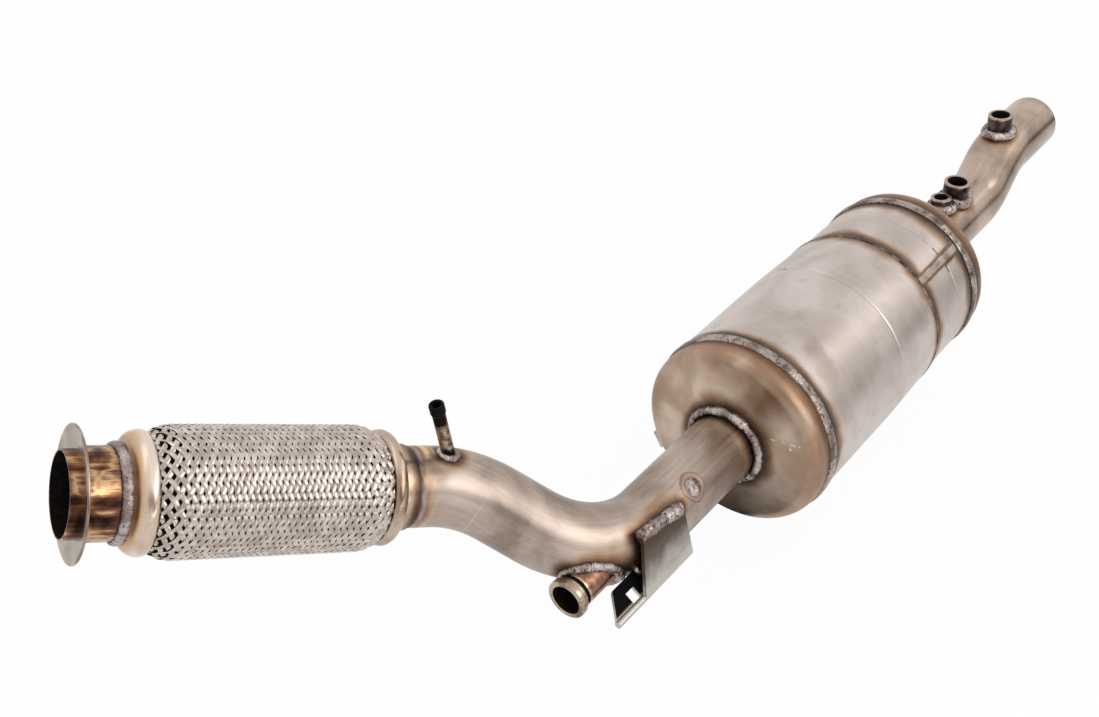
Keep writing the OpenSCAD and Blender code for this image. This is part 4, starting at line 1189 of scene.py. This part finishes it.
def seamFinish():  # pressed strip with burnt edges
    look = dict(light=(176, 160, 149), dark=(130, 114, 103), edge=(76, 60, 51))
    material, shader, place, run = newFinish("seamSteel")
    patches = place.noise(70, 4, 0.6)
    fine = place.stretched((60, 700, 700)).noise(1, 2, 0.6)
    off = fromBead(place.wobbled(120, 0.002), seamFirst, seamLast, 0)
    colour = patches.ease(0.35, 0.68).mixed(paint(look["dark"]), paint(look["light"]))
    colour = (off.ease(2.7 * mm, 3.9 * mm) * 0.75).mixed(colour, paint(look["edge"]))
    feed(shader, "Base Color", ((fine - 0.5) * 0.4 + 1).shaded(colour))
    feed(shader, "Roughness", patches * 0.2 + 0.26)
    shader.inputs["Metallic"].default_value = 1.0
    roughen(shader, patches + fine * 0.5, 0.0002)
    return material


def canWelds():
    rim = dict(radius=can["rimRadius"], step=0.9 * mm, pitch=2.6 * mm, ripple=0.03, lump=0.05, jitter=0.2 * mm,
               rough=0.9 * mm)
    tail = rearRadius - can["taper"]
    outletRadius = mounts["outlet"]["dims"]["r_mm"] * mm
    for name, node, seat, seed in (("frontRimWeld", "front_rim_weld", canRadius, 21),
                                   ("rearRimWeld", "rear_rim_weld", tail + 0.2 * mm, 22)):
        at = sum(span(node, canStart, canAxis)) / 2
        bead = weldBead(name, ringPath(canStart + canAxis * at, canAxis, seat), rim, seed=seed)
        seated(bead, canStart, canAxis, seat - 0.3 * mm, can["rimShare"])
        marked(bead, canStart, canAxis)
        dressed(bead, rimMetal, "weld", node)
    joint = dict(radius=can["jointRadius"], step=0.9 * mm, pitch=2.2 * mm, ripple=0.03, lump=0.06, jitter=0.12 * mm,
                 rough=0.6 * mm)
    path = ringPath(canStart + canAxis * (shellTo + 0.2 * mm), canAxis, rearRadius + 0.5 * mm)
    bead = weldBead("jointWeld", path, joint, seed=23)
    seated(bead, canStart, canAxis, rearRadius - 0.3 * mm, can["jointShare"])
    dressed(bead, burntWeld, "weld", "joint_weld")
    neck = dict(radius=can["neckRadius"], step=0.8 * mm, pitch=3 * mm, ripple=0.05, lump=0.13, jitter=0.4 * mm,
                rough=2.0 * mm)
    for name, node, at, seat, seed in (("neckWeld", "neck_weld", domeFrom - 0.5 * mm, pipe["radius"], 24),
                                       ("outletWeld", "outlet_weld", capTo, outletRadius, 25)):
        bead = weldBead(name, ringPath(canStart + canAxis * at, canAxis, seat + 3.6 * mm), neck, seed=seed)
        seated(bead, canStart, canAxis, seat - 0.3 * mm, 0.8)
        dressed(bead, weldMetal, "weld", node)
    half, proud = can["seamHalf"], can["seamProud"]
    big = (half * half + proud * proud) / (2 * proud)
    seam = dict(radius=big, step=0.9 * mm, pitch=1.8 * mm, ripple=0, lump=0, jitter=0, square=True)
    path = [seamFirst, seamFirst.lerp(seamLast, 0.7), seamLast - seamOut * can["taper"]]
    bead = weldBead("seamStrip", [at + seamOut * (proud - big) for at in path], seam, False, 26)
    seated(bead, canStart, canAxis, rearRadius - 0.4 * mm)
    dressed(bead, seamSteel, "can", "seam_strip")
    print("can welds done")


burntWeld = plainFinish("burntWeld", (136, 118, 105), (66, 50, 40), 0.26, 1.0, 120)
seamSteel = seamFinish()
canPieces()
canWelds()
brickFinish = plainFinish("ceramicBrick", (176, 160, 136), (140, 124, 100), 0.7, 0.0, 300)
matFinish = plainFinish("fibreMat", (214, 210, 200), (180, 174, 160), 0.8, 0.0, 400)
for name, finish in (("filter_brick", brickFinish), ("support_mat", matFinish)):
    frame["nodes"][name].data.materials.clear()
    frame["nodes"][name].data.materials.append(finish)

# Studio: white sweep, soft lamps and the camera of the photo
studio = dict(floorDrop=0.03, floorSize=30, floorWhite=0.95, worldLight=0.9,
              cameraAt=(-0.31844, -0.64231, 0.61944), right=(0.61341, -0.78977, 0.0),
              up=(0.48917, 0.37994, 0.78509), focalPixels=1400, framePixels=1099)
lamps = [dict(name="keyLamp", at=(0.46, -1.17, 0.61), aim=(0.17, -0.08, -0.06), size=(1.05, 0.62), power=5.2),
         dict(name="fillLamp", at=(1.8, -0.95, 0.72), aim=(0.6, -0.2, -0.1), size=(0.5, 0.3), power=1.0),
         dict(name="lowLamp", at=(-0.05, -1.25, -0.1), aim=(0.15, -0.1, -0.05), size=(0.9, 0.06), power=0.9),
         dict(name="topLamp", at=(0.2, 0.5, 1.7), aim=(0.5, -0.15, -0.1), size=(1.6, 0.5), power=2.6)]
flags = [dict(name="cameraFlag", at=(-0.55, -1.3, 0.7), aim=(0.35, -0.15, -0.08), size=(1.0, 0.7), shade=0.42),
         dict(name="sideFlag", at=(0.0, -1.6, 0.17), aim=(0.1, -0.1, 0.0), size=(1.1, 0.28), shade=0.03),
         dict(name="rightFlag", at=(2.0, -1.0, -0.18), aim=(0.5, -0.15, -0.18), size=(2.0, 0.22), shade=0.03),
         # Painted shadow: two dark cards on the floor under the can, seen only in reflections, stand in for its shadow
         # on the floor
         dict(name="floorShadowCard", at=(0.4, -0.2, -0.274), aim=(0.4, -0.2, 0), size=(0.1, 0.14), shade=0.3),
         dict(name="darkFloorShadowCard", at=(0.48, -0.217, -0.272), aim=(0.48, -0.217, 0), size=(0.12, 0.055), shade=0.05)]


def stagePart(piece, name, shade):  # dark card that only the metal's reflections show
    piece.name = name
    material = bpy.data.materials.new(name)
    material.use_nodes = True
    shader = material.node_tree.nodes["Principled BSDF"]
    shader.inputs["Base Color"].default_value = (shade, shade, shade, 1)
    shader.inputs["Roughness"].default_value = 0.9
    shader.inputs["Specular IOR Level"].default_value = 0
    piece.data.materials.append(material)
    piece.visible_camera = False
    piece.visible_diffuse = False
    piece.visible_shadow = False


def buildStudio():
    low = cadBox[0].z - studio["floorDrop"]
    clearSelection()
    bpy.ops.mesh.primitive_plane_add(size=studio["floorSize"], location=(0.5, 0, low))
    floor = bpy.context.object
    floor.name = "floor"
    material, shader, place, run = newFinish("paleFloor")
    tree = material.node_tree
    shader.inputs["Base Color"].default_value = (0.8, 0.8, 0.8, 1)
    shader.inputs["Roughness"].default_value = 0.9
    seen = place.node("ShaderNodeLightPath")
    ray = seen.socket.node.outputs
    white = Wire(tree, ray["Is Camera Ray"]).highest(Wire(tree, ray["Is Glossy Ray"])).highest(
        Wire(tree, ray["Is Transmission Ray"])) * studio["floorWhite"]
    glow = place.node("ShaderNodeEmission", {}, {"Color": (1, 1, 1, 1), "Strength": 1.0})
    both = white.node("ShaderNodeMixShader", {}, {0: white, 1: Wire(tree, shader.outputs[0]), 2: glow})
    tree.links.new(both.socket, tree.nodes["Material Output"].inputs["Surface"])
    floor.data.materials.append(material)
    world = bpy.data.worlds.new("studio")
    world.use_nodes = True
    bpy.context.scene.world = world
    tree = world.node_tree
    start = Wire(tree)
    seen = start.node("ShaderNodeLightPath")
    ray = seen.socket.node.outputs
    white = Wire(tree, ray["Is Camera Ray"]).highest(Wire(tree, ray["Is Glossy Ray"])).highest(
        Wire(tree, ray["Is Transmission Ray"]))
    back = start.node("ShaderNodeBackground", {}, {"Color": (1, 1, 1, 1), "Strength": 1.0})
    light = start.node("ShaderNodeBackground", {}, {"Color": (1, 1, 1, 1), "Strength": studio["worldLight"]})
    both = white.node("ShaderNodeMixShader", {}, {0: white, 1: light, 2: back})
    tree.links.new(both.socket, tree.nodes["World Output"].inputs["Surface"])
    for lamp in lamps:
        at, aim = Vector(lamp["at"]), Vector(lamp["aim"])
        clearSelection()
        bpy.ops.object.light_add(type="AREA", location=at, rotation=(aim - at).to_track_quat("-Z", "Y").to_euler())
        light = bpy.context.object
        light.name = lamp["name"]
        light.data.shape = "RECTANGLE"
        light.data.size, light.data.size_y = lamp["size"]
        light.data.energy = lamp["power"]
    for flag in flags:
        at, aim = Vector(flag["at"]), Vector(flag["aim"])
        clearSelection()
        bpy.ops.mesh.primitive_plane_add(size=1, location=at, rotation=(aim - at).to_track_quat("-Z", "Y").to_euler())
        card = bpy.context.object
        card.scale = (*flag["size"], 1)
        stagePart(card, flag["name"], flag["shade"])
    right, up = Vector(studio["right"]), Vector(studio["up"])
    turn = Matrix((right, up, right.cross(up))).transposed()
    clearSelection()
    bpy.ops.object.camera_add(location=studio["cameraAt"], rotation=turn.to_euler())
    camera = bpy.context.object
    camera.data.sensor_width = 36
    camera.data.lens = 36 * studio["focalPixels"] / studio["framePixels"]
    bpy.context.scene.camera = camera
    bpy.context.scene.view_settings.view_transform = "Standard"
    print("studio done")


buildStudio()
